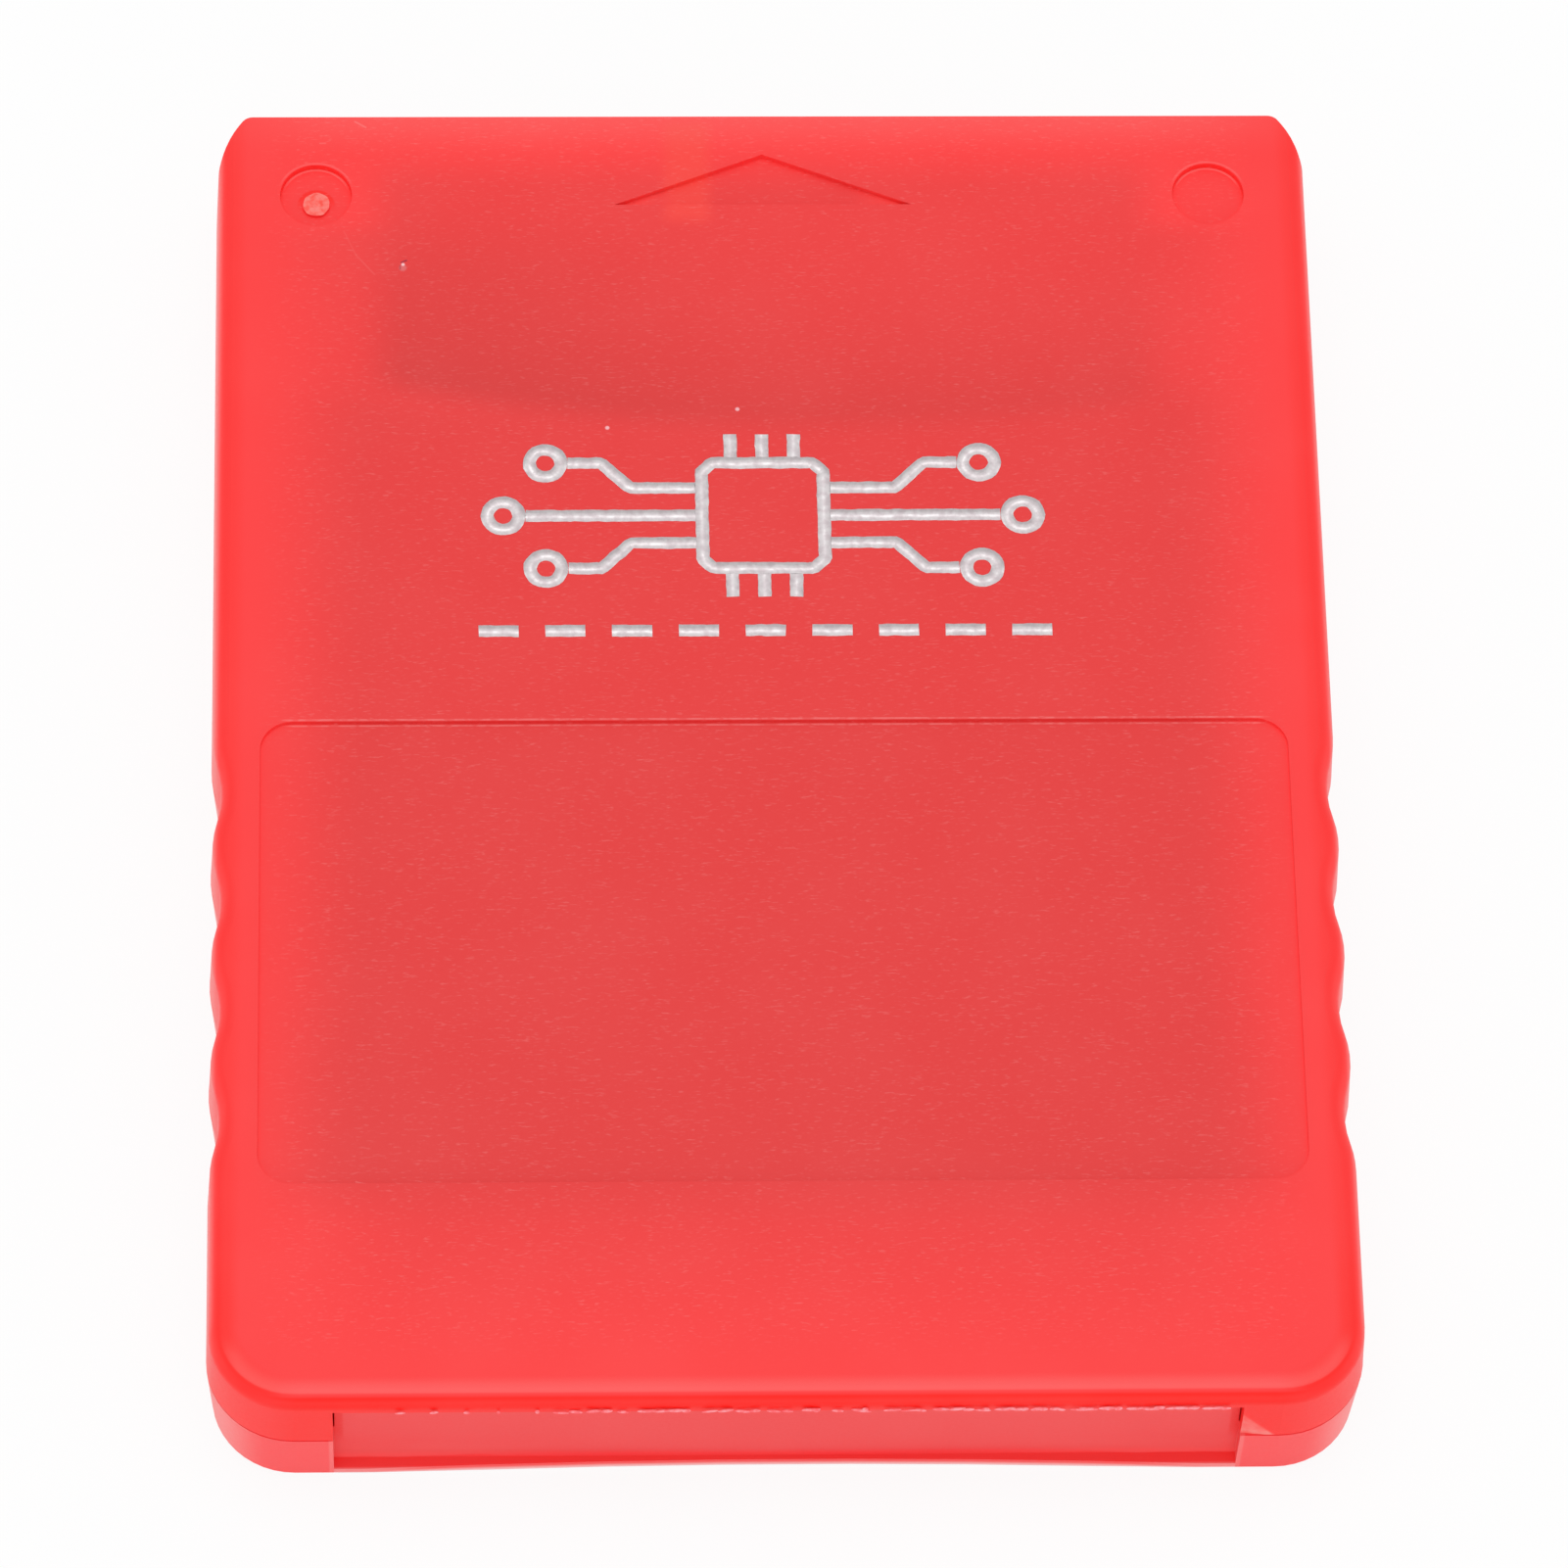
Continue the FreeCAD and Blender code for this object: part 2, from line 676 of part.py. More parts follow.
# Leaded chips: a bevelled moulded block under the board, with bent leads along its sides
def chip_block(label, length, width, centre_y):
    body = new_body(label)

    def block(sketch):
        rectangle(sketch, f"-{length} / 2", f"{length} / 2", f"-{width} / 2", f"{width} / 2")

    raise_block(body, "block", CHIP_BASE, CHIP_TOP, block)
    base, top = number(CHIP_BASE), number(CHIP_TOP)
    dress_edges(body, "Chamfer", "bevel", "chip_bevel", lambda e: lies_at(e, base) or lies_at(e, top))
    dimple = discs_at([(f"-{length} / 2 + dimple_inset", f"{width} / 2 - dimple_inset")], "dimple_diameter")
    cut_block(body, "dimple", f"({CHIP_BASE} - {SPARE})", f"({CHIP_BASE} + dimple_depth)", dimple)
    bind(body, "Placement.Base.y", centre_y)
    return body


def lead(reach_from, width):
    """One bent lead along X: out of the block, up to the board and along it."""
    thick = number("lead_thickness")
    middle, board = number(f"({CHIP_BASE} + {CHIP_TOP}) / 2"), number(BOARD_BASE)
    bend = reach_from + number("lead_shoulder")
    toe = reach_from + number(LEAD_REACH)
    profile = [
        (reach_from, middle - thick / 2),
        (bend + thick, middle - thick / 2),
        (bend + thick, board - thick),
        (toe, board - thick),
        (toe, board),
        (bend, board),
        (bend, middle + thick / 2),
        (reach_from, middle + thick / 2),
    ]
    points = [FreeCAD.Vector(x, -width / 2, z) for x, z in profile]
    face = Part.Face(Part.makePolygon(points + points[:1]))
    return face.extrude(FreeCAD.Vector(0, width, 0))


def leads(chip, sides, centre_y):
    """A chip's rows of leads. sides has each row's angle about the chip and its distance from the middle."""
    label = f"{chip}_leads"
    pitch, width = number(f"{chip}_lead_pitch"), number(f"{chip}_lead_width")
    count = round(number(f"{chip}_leads_a_side"))
    solids = []
    for angle, distance in sides:
        row = lead(number(distance), width)
        for place in range(count):
            one = row.copy()
            one.translate(FreeCAD.Vector(0, (place - (count - 1) / 2) * pitch, 0))
            one.rotate(FreeCAD.Vector(), FreeCAD.Vector(0, 0, 1), angle)
            solids.append(one)
    feature = doc.addObject("Part::Feature", label)
    feature.Label = label
    feature.Shape = Part.makeCompound(solids)
    feature.Placement.Base = FreeCAD.Vector(0, number(centre_y), 0)
    return feature


def flash():
    half = "flash_length / 2"
    rows = [(0, half), (180, half)]
    return [
        chip_block("flash_chip", "flash_length", "flash_width", FLASH_Y),
        leads("flash", rows, FLASH_Y),
    ]


def controller():
    half = "controller_side / 2"
    rows = [(quarter * 90, half) for quarter in range(4)]
    return [
        chip_block("controller_chip", "controller_side", "controller_side", CONTROLLER_Y),
        leads("controller", rows, CONTROLLER_Y),
    ]


# Small components soldered under the board
def crystal():
    body = new_body("crystal")

    def can(sketch):
        side, end = "(crystal_length / 2)", "(crystal_width / 2)"
        rounded_rectangle(sketch, f"-{side}", side, f"-{end}", end, "crystal_corner")

    raise_block(body, "can", f"({BOARD_BASE} - crystal_height)", BOARD_BASE, can)
    bind(body, "Placement.Base.x", "crystal_offset")
    bind(body, "Placement.Base.y", CONTROLLER_Y)
    return body


def small_component(label, height, x, y):
    """A ceramic chip with a slightly thicker metal cap on each end."""
    body = new_body(label)
    side, end = "(small_length / 2)", "(small_width / 2)"

    def core(sketch):
        rectangle(sketch, f"-{side}", side, f"-{end} + small_cap_step", f"{end} - small_cap_step")

    def caps(sketch):
        rectangle(sketch, f"-{side}", f"-{side} + small_cap_length", f"-{end}", end)
        rectangle(sketch, f"{side} - small_cap_length", side, f"-{end}", end)

    low = f"({BOARD_BASE} - {height})"
    raise_block(body, "core", f"({low} + small_cap_step)", f"({BOARD_BASE} - small_cap_step)", core)
    raise_block(body, "caps", low, BOARD_BASE, caps)
    bind(body, "Placement.Base.x", x)
    bind(body, "Placement.Base.y", y)
    return body


def small_components():
    made = []
    corners = [(x, y) for x in ("-", "") for y in ("-", "+")]
    for index, (x, y) in enumerate(corners, start=1):
        place = f"{CONTROLLER_Y} {y} capacitor_spread"
        made.append(small_component(f"capacitor_{index}", "capacitor_height", f"{x}capacitor_offset", place))
    row_y = f"{CONTROLLER_Y} + controller_side / 2 + {LEAD_REACH} + resistor_gap"
    for index in range(4):
        place = f"{index - 1.5} * resistor_spacing"
        made.append(small_component(f"resistor_{index + 1}", "resistor_height", place, row_y))
    return made


parts = [upper_shell(), lower_shell(), circuit_board()]
parts += contacts() + flash() + controller()
parts += [crystal()] + small_components()
doc.recompute()

for item in doc.Objects:
    if "Invalid" in item.State or "Error" in item.State:
        raise RuntimeError(f"{item.Label} failed: {item.State}")
for part in parts:
    if part.Shape.isNull() or not part.Shape.isValid():
        raise RuntimeError(f"{part.Label} has no valid shape")

os.makedirs("parts", exist_ok=True)
for part in parts:
    part.Shape.exportStep(f"parts/{part.Label}.step")
    box = part.Shape.optimalBoundingBox(False)
    print(part.Label, len(part.Shape.Solids), round(part.Shape.Volume, 3), box)
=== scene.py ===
import math

import bpy
from mathutils import Matrix, Vector, noise


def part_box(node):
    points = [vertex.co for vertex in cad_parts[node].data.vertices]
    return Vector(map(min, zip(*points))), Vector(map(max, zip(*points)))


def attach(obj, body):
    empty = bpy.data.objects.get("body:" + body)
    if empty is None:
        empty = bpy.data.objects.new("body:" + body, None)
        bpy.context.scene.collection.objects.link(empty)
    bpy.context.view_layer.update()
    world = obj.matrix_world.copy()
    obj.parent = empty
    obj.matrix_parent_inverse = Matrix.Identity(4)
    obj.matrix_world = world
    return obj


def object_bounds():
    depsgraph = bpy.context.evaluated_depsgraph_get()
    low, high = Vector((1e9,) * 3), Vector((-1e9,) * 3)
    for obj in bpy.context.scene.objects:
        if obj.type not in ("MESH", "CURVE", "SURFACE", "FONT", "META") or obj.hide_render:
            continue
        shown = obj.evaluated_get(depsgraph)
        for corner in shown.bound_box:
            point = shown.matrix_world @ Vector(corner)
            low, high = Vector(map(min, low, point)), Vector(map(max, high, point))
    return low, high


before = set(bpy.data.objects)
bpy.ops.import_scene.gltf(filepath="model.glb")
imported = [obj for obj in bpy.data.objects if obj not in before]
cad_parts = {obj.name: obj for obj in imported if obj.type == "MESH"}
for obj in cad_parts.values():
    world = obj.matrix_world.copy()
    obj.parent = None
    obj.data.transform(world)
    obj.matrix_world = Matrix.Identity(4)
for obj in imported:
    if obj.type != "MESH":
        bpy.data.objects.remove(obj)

cad_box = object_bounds()

# Lower shell: the base of the card, injection moulded in translucent red plastic with a finely frosted
# face. It carries the board in a tray, and its tail panel fills the window of the upper shell. The board
# and the chips are painted on its floor as a blurred shade, and painted light and shade colour its side
# walls, its tail panel and the sill.
MM = 0.001
BASE_RED = (0.97, 0.049, 0.054, 1.0)
SHELL_SHADED = (0.655, 0.031, 0.030, 1.0)
SHELL_PALE = (0.95, 0.34, 0.33, 1.0)
LEDGE_RED = (0.96, 0.054, 0.054, 1.0)
PANEL_END_RED = (0.86, 0.003, 0.003, 1.0)
LIP_WHITE = (0.97, 0.60, 0.60, 1.0)


def put(tree, kind, inputs=None, **settings):
    """Adds a node with its settings, and with a value or a link on each of the inputs."""
    node = tree.nodes.new(kind)
    for key, value in settings.items():
        setattr(node, key, value)
    for key, value in (inputs or {}).items():
        fill(tree, node.inputs[key], value)
    return node


def fill(tree, socket, value):
    """Links a socket to another one, or sets its value."""
    if isinstance(value, bpy.types.NodeSocket):
        tree.links.new(value, socket)
    else:
        socket.default_value = value


def calculate(tree, operation, first, second=0.0, third=0.0):
    """The result of one sum on numbers and sockets."""
    return put(tree, "ShaderNodeMath", {0: first, 1: second, 2: third}, operation=operation).outputs[0]


def product(tree, *values):
    """All the values multiplied together."""
    result = values[0]
    for value in values[1:]:
        result = calculate(tree, "MULTIPLY", result, value)
    return result


def total(tree, *values):
    """All the values added together."""
    result = values[0]
    for value in values[1:]:
        result = calculate(tree, "ADD", result, value)
    return result


def fade(tree, value, full, none):
    """One where value is at full, nothing where it is at none, and smooth between them."""
    inputs = {"Value": value, "From Min": none, "From Max": full}
    return put(tree, "ShaderNodeMapRange", inputs, interpolation_type="SMOOTHSTEP").outputs[0]


def line_at(tree, value, middle, half):
    """One on a line at the middle value, fading out at half a width to each side of it."""
    away = calculate(tree, "ABSOLUTE", calculate(tree, "SUBTRACT", value, middle))
    return fade(tree, away, half / 2, half)


def soft_box(tree, x, y, centre, half, blur):
    """One inside an upright box about the centre, fading out over blur to each side of its walls."""
    from_x = calculate(tree, "ABSOLUTE", calculate(tree, "SUBTRACT", x, centre[0]))
    from_y = calculate(tree, "ABSOLUTE", calculate(tree, "SUBTRACT", y, centre[1]))
    across = fade(tree, from_x, half[0] - blur, half[0] + blur)
    return product(tree, across, fade(tree, from_y, half[1] - blur, half[1] + blur))


def blend_value(tree, amount, first, second):
    """A number that runs from first to second as the amount runs from nothing to one."""
    return put(tree, "ShaderNodeMapRange", {"Value": amount, "To Min": first, "To Max": second}).outputs[0]


def blend_colour(tree, amount, first, second):
    """A colour that runs from first to second as the amount runs from nothing to one."""
    node = put(tree, "ShaderNodeMix", data_type="RGBA")
    sockets = {socket.identifier: socket for socket in node.inputs}
    fill(tree, sockets["Factor_Float"], amount)
    fill(tree, sockets["A_Color"], first)
    fill(tree, sockets["B_Color"], second)
    return next(socket for socket in node.outputs if socket.identifier == "Result_Color")


def new_material(name):
    """A new material, its node tree, its shader and the place on the card that it colours."""
    material = bpy.data.materials.new(name)
    material.use_nodes = True
    tree = material.node_tree
    place = tree.nodes.new("ShaderNodeTexCoord").outputs["Object"]
    return material, tree, tree.nodes["Principled BSDF"], place


def millimetres(tree, place):
    """The X, Y and Z of a place, in millimetres."""
    scaled = put(tree, "ShaderNodeVectorMath", {0: place, "Scale": 1 / MM}, operation="SCALE")
    return put(tree, "ShaderNodeSeparateXYZ", {0: scaled.outputs[0]}).outputs


def noise_at(tree, place, grain, detail=2.0):
    """Cloudy noise whose patches are about as wide as the grain."""
    inputs = {"Vector": place, "Scale": 1 / grain, "Detail": detail}
    return put(tree, "ShaderNodeTexNoise", inputs).outputs["Fac"]


def dress(node, material):
    """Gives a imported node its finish."""
    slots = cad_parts[node].data.materials
    slots.clear()
    slots.append(material)


def middle_and_half(node):
    """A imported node's middle and half size, in millimetres."""
    low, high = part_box(node)
    return (low + high) / 2 / MM, (high - low) / 2 / MM


base_middle, base_half = middle_and_half("lower_shell")
CARD_SIDE = base_middle.x + base_half.x
TAIL = base_middle.y - base_half.y
NOSE = base_middle.y + base_half.y
TAIL_RADIUS = 3.2
SEAM = 3.1
WINDOW_HALF = 16.4
SILL_TOP = 0.45
PANEL_FACE = TAIL + 0.6


def distance(tree, x, y, centre):
    """How far a place lies from the centre, in plan."""
    across = calculate(tree, "SUBTRACT", x, centre[0])
    along = calculate(tree, "SUBTRACT", y, centre[1])
    return calculate(tree, "SQRT", total(tree, product(tree, across, across), product(tree, along, along)))


def inset(tree, x, y):
    """How far a place lies inside the sides and the tail, round the tail corners too."""
    from_middle = calculate(tree, "ABSOLUTE", x)
    past_side = calculate(tree, "MAXIMUM", from_middle, CARD_SIDE - TAIL_RADIUS)
    past_tail = calculate(tree, "MINIMUM", y, TAIL + TAIL_RADIUS)
    centre = (CARD_SIDE - TAIL_RADIUS, TAIL + TAIL_RADIUS)
    return calculate(tree, "SUBTRACT", TAIL_RADIUS, distance(tree, past_side, past_tail, centre))


# A pair of values that goes to fade says where an effect is full and where it has faded out.
SHELL_ROUGHNESS = 0.44
ROUGHNESS_SWING = 0.08
SHELL_IOR = 1.40
CLOUD_GRAIN = 5.0 * MM
CLOUD_DETAIL = 4.0
CLOUD_NOISE = (0.75, 0.35)
CLOUD_PALE = 0.02
FLECK_GRAIN = 0.07 * MM
FLECK_DETAIL = 1.0
FLECK_STRETCH = 4.0
FLECK_NOISE = (0.82, 0.56)
FLECK_INSET = (4.0, 1.2)
FLECK_PALE = 0.20
FROST_GRAIN = 0.12 * MM
FROST_HEIGHT = 0.004 * MM
FROST_STRENGTH = 0.5


def frosted_red(name, ground):
    """The shells' plastic. ground takes the tree and the place and gives back the clean colour."""
    material, tree, plastic, place = new_material(name)
    cloud = fade(tree, noise_at(tree, place, CLOUD_GRAIN, CLOUD_DETAIL), *CLOUD_NOISE)
    colour = blend_colour(tree, product(tree, cloud, CLOUD_PALE), ground(tree, place), SHELL_PALE)
    stretch = {0: place, 1: (1 / FLECK_STRETCH, 1, 1)}
    stretched = put(tree, "ShaderNodeVectorMath", stretch, operation="MULTIPLY").outputs[0]
    fleck = fade(tree, noise_at(tree, stretched, FLECK_GRAIN, FLECK_DETAIL), *FLECK_NOISE)
    x, y = millimetres(tree, place)[:2]
    off_rim = fade(tree, inset(tree, x, y), *FLECK_INSET)
    colour = blend_colour(tree, product(tree, fleck, off_rim, FLECK_PALE), colour, SHELL_PALE)
    grain = noise_at(tree, place, FROST_GRAIN)
    relief = {"Height": grain, "Distance": FROST_HEIGHT, "Strength": FROST_STRENGTH}
    bump = put(tree, "ShaderNodeBump", relief)
    rough = blend_value(tree, grain, SHELL_ROUGHNESS - ROUGHNESS_SWING, SHELL_ROUGHNESS + ROUGHNESS_SWING)
    tree.links.new(colour, plastic.inputs["Base Color"])
    tree.links.new(rough, plastic.inputs["Roughness"])
    tree.links.new(bump.outputs[0], plastic.inputs["Normal"])
    plastic.inputs["IOR"].default_value = SHELL_IOR
    return material


SIDE_REACH = (CARD_SIDE - 0.4, CARD_SIDE - 2.2)
WINDOW_INSIDE = (WINDOW_HALF - 0.02, WINDOW_HALF + 0.02)
PANEL_SKIN = (PANEL_FACE + 0.1, PANEL_FACE + 0.2)


def side_glow(tree, x, y, depth, strength):
    """Painted light on a shell's side walls, down to some depth inside them, where light would leave the
    plastic.
    """
    at_side = fade(tree, calculate(tree, "ABSOLUTE", x), *SIDE_REACH)
    return product(tree, fade(tree, inset(tree, x, y), depth / 3, depth), at_side, strength)


def in_window(tree, x):
    """One between the two ends of the tail window."""
    return fade(tree, calculate(tree, "ABSOLUTE", x), *WINDOW_INSIDE)


def near_panel(tree, y):
    """One from the tail up to the skin of the panel."""
    return fade(tree, y, *PANEL_SKIN)


BASE_WALL_DEPTH = 0.6
BASE_WALL_PALE = 0.5
FOOT_RISE = (SILL_TOP, SILL_TOP + 1.6)
FOOT_ENDS = (WINDOW_HALF - 1.4, WINDOW_HALF - 11.4)
FOOT_PALE = 0.20
WINDOW_END = WINDOW_HALF + 0.07
WINDOW_END_HALF = 0.12
WINDOW_END_PALE = 0.25


def base_glow(tree, x, y, z):
    """How far painted light pales the base's red: on its side walls, at the foot of the panel and in a
    highlight at the ends of the window.
    """
    from_middle = calculate(tree, "ABSOLUTE", x)
    skin = near_panel(tree, y)
    to_ends = product(tree, fade(tree, from_middle, *FOOT_ENDS), FOOT_PALE)
    foot = product(tree, in_window(tree, x), skin, fade(tree, z, *FOOT_RISE), to_ends)
    window_end = product(tree, line_at(tree, from_middle, WINDOW_END, WINDOW_END_HALF), skin, WINDOW_END_PALE)
    return total(tree, side_glow(tree, x, y, BASE_WALL_DEPTH, BASE_WALL_PALE), foot, window_end)


PANEL_END = (WINDOW_HALF - 0.29, WINDOW_HALF - 0.41)
PANEL_END_RISE = (SEAM - 0.3, SEAM - 1.5)
FOOT_WAVE_GRAIN = 2.5 * MM
FOOT_WAVE_HEIGHT = 0.6
FOOT_WAVE_LOW = -0.24
FOOT_LINE = (SILL_TOP, SILL_TOP + 0.08)
SILL_FRONT = (PANEL_FACE - 0.03, PANEL_FACE - 0.01)
LIP_RISE = (0.0, SILL_TOP - 0.10)
LIP_BRINK = (PANEL_FACE - 0.5, PANEL_FACE - 0.34)
LIP_BRINK_SHARE = 0.4
LEDGE_RISE = (SILL_TOP - 0.08, SILL_TOP - 0.22)
LEDGE_REACH = (PANEL_FACE - 0.32, PANEL_FACE - 0.40)
LEDGE_SHARE = 0.9


def sill_colour(tree, place, red):
    """The sill below the panel: painted shade in deep red on its ledge, along the foot of the panel and up
    the panel's ends, and painted light, nearly white, at its lip.
    """
    x, y, z = millimetres(tree, place)
    inside = in_window(tree, x)
    skin = near_panel(tree, y)
    panel_end = fade(tree, calculate(tree, "ABSOLUTE", x), *PANEL_END)
    panel_end = product(tree, inside, skin, panel_end, fade(tree, z, *PANEL_END_RISE))
    red = blend_colour(tree, panel_end, red, PANEL_END_RED)
    wave = noise_at(tree, place, FOOT_WAVE_GRAIN)
    wave = calculate(tree, "MULTIPLY_ADD", wave, FOOT_WAVE_HEIGHT, FOOT_WAVE_LOW)
    foot = fade(tree, calculate(tree, "SUBTRACT", z, wave), *FOOT_LINE)
    red = blend_colour(tree, product(tree, inside, skin, foot, LEDGE_SHARE), red, LEDGE_RED)
    front = product(tree, inside, fade(tree, y, *SILL_FRONT))
    brink = product(tree, fade(tree, y, *LIP_BRINK), LIP_BRINK_SHARE)
    lip = calculate(tree, "MAXIMUM", fade(tree, z, *LIP_RISE), brink)
    red = blend_colour(tree, product(tree, front, lip), red, LIP_WHITE)
    ledge = product(tree, front, fade(tree, z, *LEDGE_RISE), fade(tree, y, *LEDGE_REACH))
    return blend_colour(tree, product(tree, ledge, LEDGE_SHARE), red, LEDGE_RED)


SHADE_RANGE = 1.5
BOARD_GHOST = 0.75
BOARD_GHOST_BLUR = 2.0
CHIP_GHOST = 0.45
CHIP_GHOST_BLUR = 0.8
GHOST_RISE = (0.5, 1.2)
PANEL_SHADE = 0.42
PANEL_SHADE_RISE = (SILL_TOP + 0.6, SILL_TOP + 0.1)


def base_ground(tree, place):
    """The base's red, with painted shade below the board and the chips and on the tail panel, and painted
    light and shade on its walls and its sill.
    """
    x, y, z = millimetres(tree, place)
    # Painted shade: the board and the chips inside, blurred on the base.
    board = soft_box(tree, x, y, *middle_and_half("circuit_board"), BOARD_GHOST_BLUR)
    ghost = product(tree, board, BOARD_GHOST)
    for node in ("flash_chip", "controller_chip"):
        chip = soft_box(tree, x, y, *middle_and_half(node), CHIP_GHOST_BLUR)
        ghost = total(tree, ghost, product(tree, chip, CHIP_GHOST))
    ghost = product(tree, ghost, fade(tree, z, *GHOST_RISE))
    panel = product(tree, in_window(tree, x), fade(tree, z, *PANEL_SHADE_RISE), PANEL_SHADE)
    shade = calculate(tree, "MAXIMUM", ghost, panel)
    red = blend_colour(tree, calculate(tree, "DIVIDE", shade, SHADE_RANGE), BASE_RED, SHELL_SHADED)
    red = blend_colour(tree, base_glow(tree, x, y, z), red, SHELL_PALE)
    return sill_colour(tree, place, red)


dress("lower_shell", frosted_red("lower_shell_plastic", base_ground))

# Circuit board: glass laminate under a dark green solder mask, routed to shape and laid in the tray of
# the base, with its end reaching into the contact bay.
BOARD_GREEN = (0.010, 0.050, 0.022, 1.0)
BOARD_TRACE = (0.020, 0.085, 0.036, 1.0)
BOARD_WEAVE = 0.4 * MM
BOARD_ROUGHNESS = 0.38
MOTTLE_NOISE = (0.7, 0.3)
MOTTLE_DETAIL = 3.0


def mottled(name, first, second, grain, roughness, metallic=0.0):
    """A finish whose colour and gloss wander a little between two tones."""
    material, tree, surface, place = new_material(name)
    wander = fade(tree, noise_at(tree, place, grain, MOTTLE_DETAIL), *MOTTLE_NOISE)
    rough = blend_value(tree, wander, roughness - ROUGHNESS_SWING, roughness + ROUGHNESS_SWING)
    tree.links.new(blend_colour(tree, wander, first, second), surface.inputs["Base Color"])
    tree.links.new(rough, surface.inputs["Roughness"])
    surface.inputs["Metallic"].default_value = metallic
    return material


dress("circuit_board", mottled("board_mask", BOARD_GREEN, BOARD_TRACE, BOARD_WEAVE, BOARD_ROUGHNESS))

# Contacts: eight gold-plated strips on the underside of the board's end, etched with the board's copper
# and wiped by the springs of the console.
CONTACT_GOLD = (0.83, 0.56, 0.20, 1.0)
CONTACT_WORN = (0.74, 0.48, 0.17, 1.0)
CONTACT_GRAIN = 0.25 * MM
CONTACT_ROUGHNESS = 0.26
METAL = 1.0
plating = mottled("contact_plating", CONTACT_GOLD, CONTACT_WORN, CONTACT_GRAIN, CONTACT_ROUGHNESS, METAL)
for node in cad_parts:
    if node.startswith("contact_"):
        dress(node, plating)

# Chips and crystal: blocks of black moulded epoxy with tinned leads, and a plated can, all soldered under
# the board.
EPOXY_BLACK = (0.012, 0.012, 0.013, 1.0)
EPOXY_GREY = (0.030, 0.030, 0.032, 1.0)
EPOXY_GRAIN = 0.08 * MM
EPOXY_ROUGHNESS = 0.55
TIN = (0.66, 0.66, 0.64, 1.0)
TIN_DULL = (0.50, 0.50, 0.49, 1.0)
TIN_GRAIN = 0.15 * MM
TIN_ROUGHNESS = 0.34
epoxy = mottled("chip_epoxy", EPOXY_BLACK, EPOXY_GREY, EPOXY_GRAIN, EPOXY_ROUGHNESS)
tin = mottled("lead_tin", TIN, TIN_DULL, TIN_GRAIN, TIN_ROUGHNESS, METAL)
for node in ("flash_chip", "controller_chip"):
    dress(node, epoxy)
for node in ("flash_leads", "controller_leads", "crystal"):
    dress(node, tin)

# Capacitors and resistors: fired ceramic chips with a tinned cap on each end, soldered round the
# controller.
CERAMIC_TAN = (0.32, 0.19, 0.10, 1.0)
CERAMIC_BLACK = (0.015, 0.015, 0.018, 1.0)
CERAMIC_GRAIN = 0.1 * MM
CERAMIC_SMOOTH = 0.3
CERAMIC_ROUGH = 0.5
CAP_LENGTH = 0.3


def capped(node, body_colour):
    """Ceramic with tinned ends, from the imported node's own box."""
    material, tree, surface, place = new_material(f"{node}_ceramic")
    middle, half = middle_and_half(node)
    x = millimetres(tree, place)["X"]
    from_middle = calculate(tree, "ABSOLUTE", calculate(tree, "SUBTRACT", x, middle.x))
    cap = calculate(tree, "GREATER_THAN", from_middle, half.x - CAP_LENGTH)
    speck = noise_at(tree, place, CERAMIC_GRAIN)
    ends = blend_colour(tree, speck, TIN, TIN_DULL)
    rough = blend_value(tree, speck, CERAMIC_SMOOTH, CERAMIC_ROUGH)
    tree.links.new(blend_colour(tree, cap, body_colour, ends), surface.inputs["Base Color"])
    tree.links.new(cap, surface.inputs["Metallic"])
    tree.links.new(rough, surface.inputs["Roughness"])
    return material


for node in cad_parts:
    if node.startswith("capacitor_"):
        dress(node, capped(node, CERAMIC_TAN))
    if node.startswith("resistor_"):
        dress(node, capped(node, CERAMIC_BLACK))

# Upper shell: the cover, moulded in the same plastic and pressed onto the base by its pegs. The board
# is painted on it as a blurred shade, darkest where the roof is thin over the contacts. Painted light and
# shade stand for the light that runs inside the plastic: its rim is left clear, its rounded edges and
# marks are painted a deeper red, and its brinks and side walls are painted paler. Its broken corner is
# whitish.
SHELL_RED = (0.98, 0.037, 0.038, 1.0)
SHELL_DEEP = (0.98, 0.006, 0.001, 1.0)
TOP = cad_box[1][2] / MM
LABEL_HALF = (CARD_SIDE - 1.86, 9.6)
LABEL_MIDDLE = (0.0, TAIL + 8.95 + LABEL_HALF[1])
LABEL_BLUR = 0.05
LABEL_SHADE = 0.12
PLAIN_SHADE = 0.85
SIDE_SHADOW = (CARD_SIDE - 6.1, CARD_SIDE - 1.0)
TAIL_SHADOW = (TAIL + 9.9, TAIL + 6.7)
EAR_SHADOW = (NOSE - 6.0, NOSE - 4.4)
EAR_BACK = (NOSE - 11.0, NOSE - 14.0)
EAR_SHADE = 0.65
HOLLOW_SIDE = (CARD_SIDE - 8.5, CARD_SIDE - 1.2)
HOLLOW_TAIL = (TAIL + 8.9, TAIL)
HOLLOW_NOSE = (TAIL + 12.5, TAIL + 17.5)
HOLLOW_SHADE = 0.62


def board_shade(tree, x, y):
    """How far the painted shade of the board, and of the hollow between it and the tail, darkens the cover.
    """
    from_middle = calculate(tree, "ABSOLUTE", x)
    ear = blend_value(tree, fade(tree, y, *EAR_BACK), 1.0, EAR_SHADE)
    ear = product(tree, ear, fade(tree, y, *EAR_SHADOW))
    label = soft_box(tree, x, y, LABEL_MIDDLE, LABEL_HALF, LABEL_BLUR)
    strength = calculate(tree, "MULTIPLY_ADD", label, LABEL_SHADE, PLAIN_SHADE)
    board = product(tree, fade(tree, from_middle, *SIDE_SHADOW), fade(tree, y, *TAIL_SHADOW), ear, strength)
    hollow = product(tree, fade(tree, from_middle, *HOLLOW_SIDE), fade(tree, y, *HOLLOW_TAIL))
    hollow = product(tree, hollow, fade(tree, y, *HOLLOW_NOSE), HOLLOW_SHADE)
    return blend_value(tree, board, hollow, 1.0)


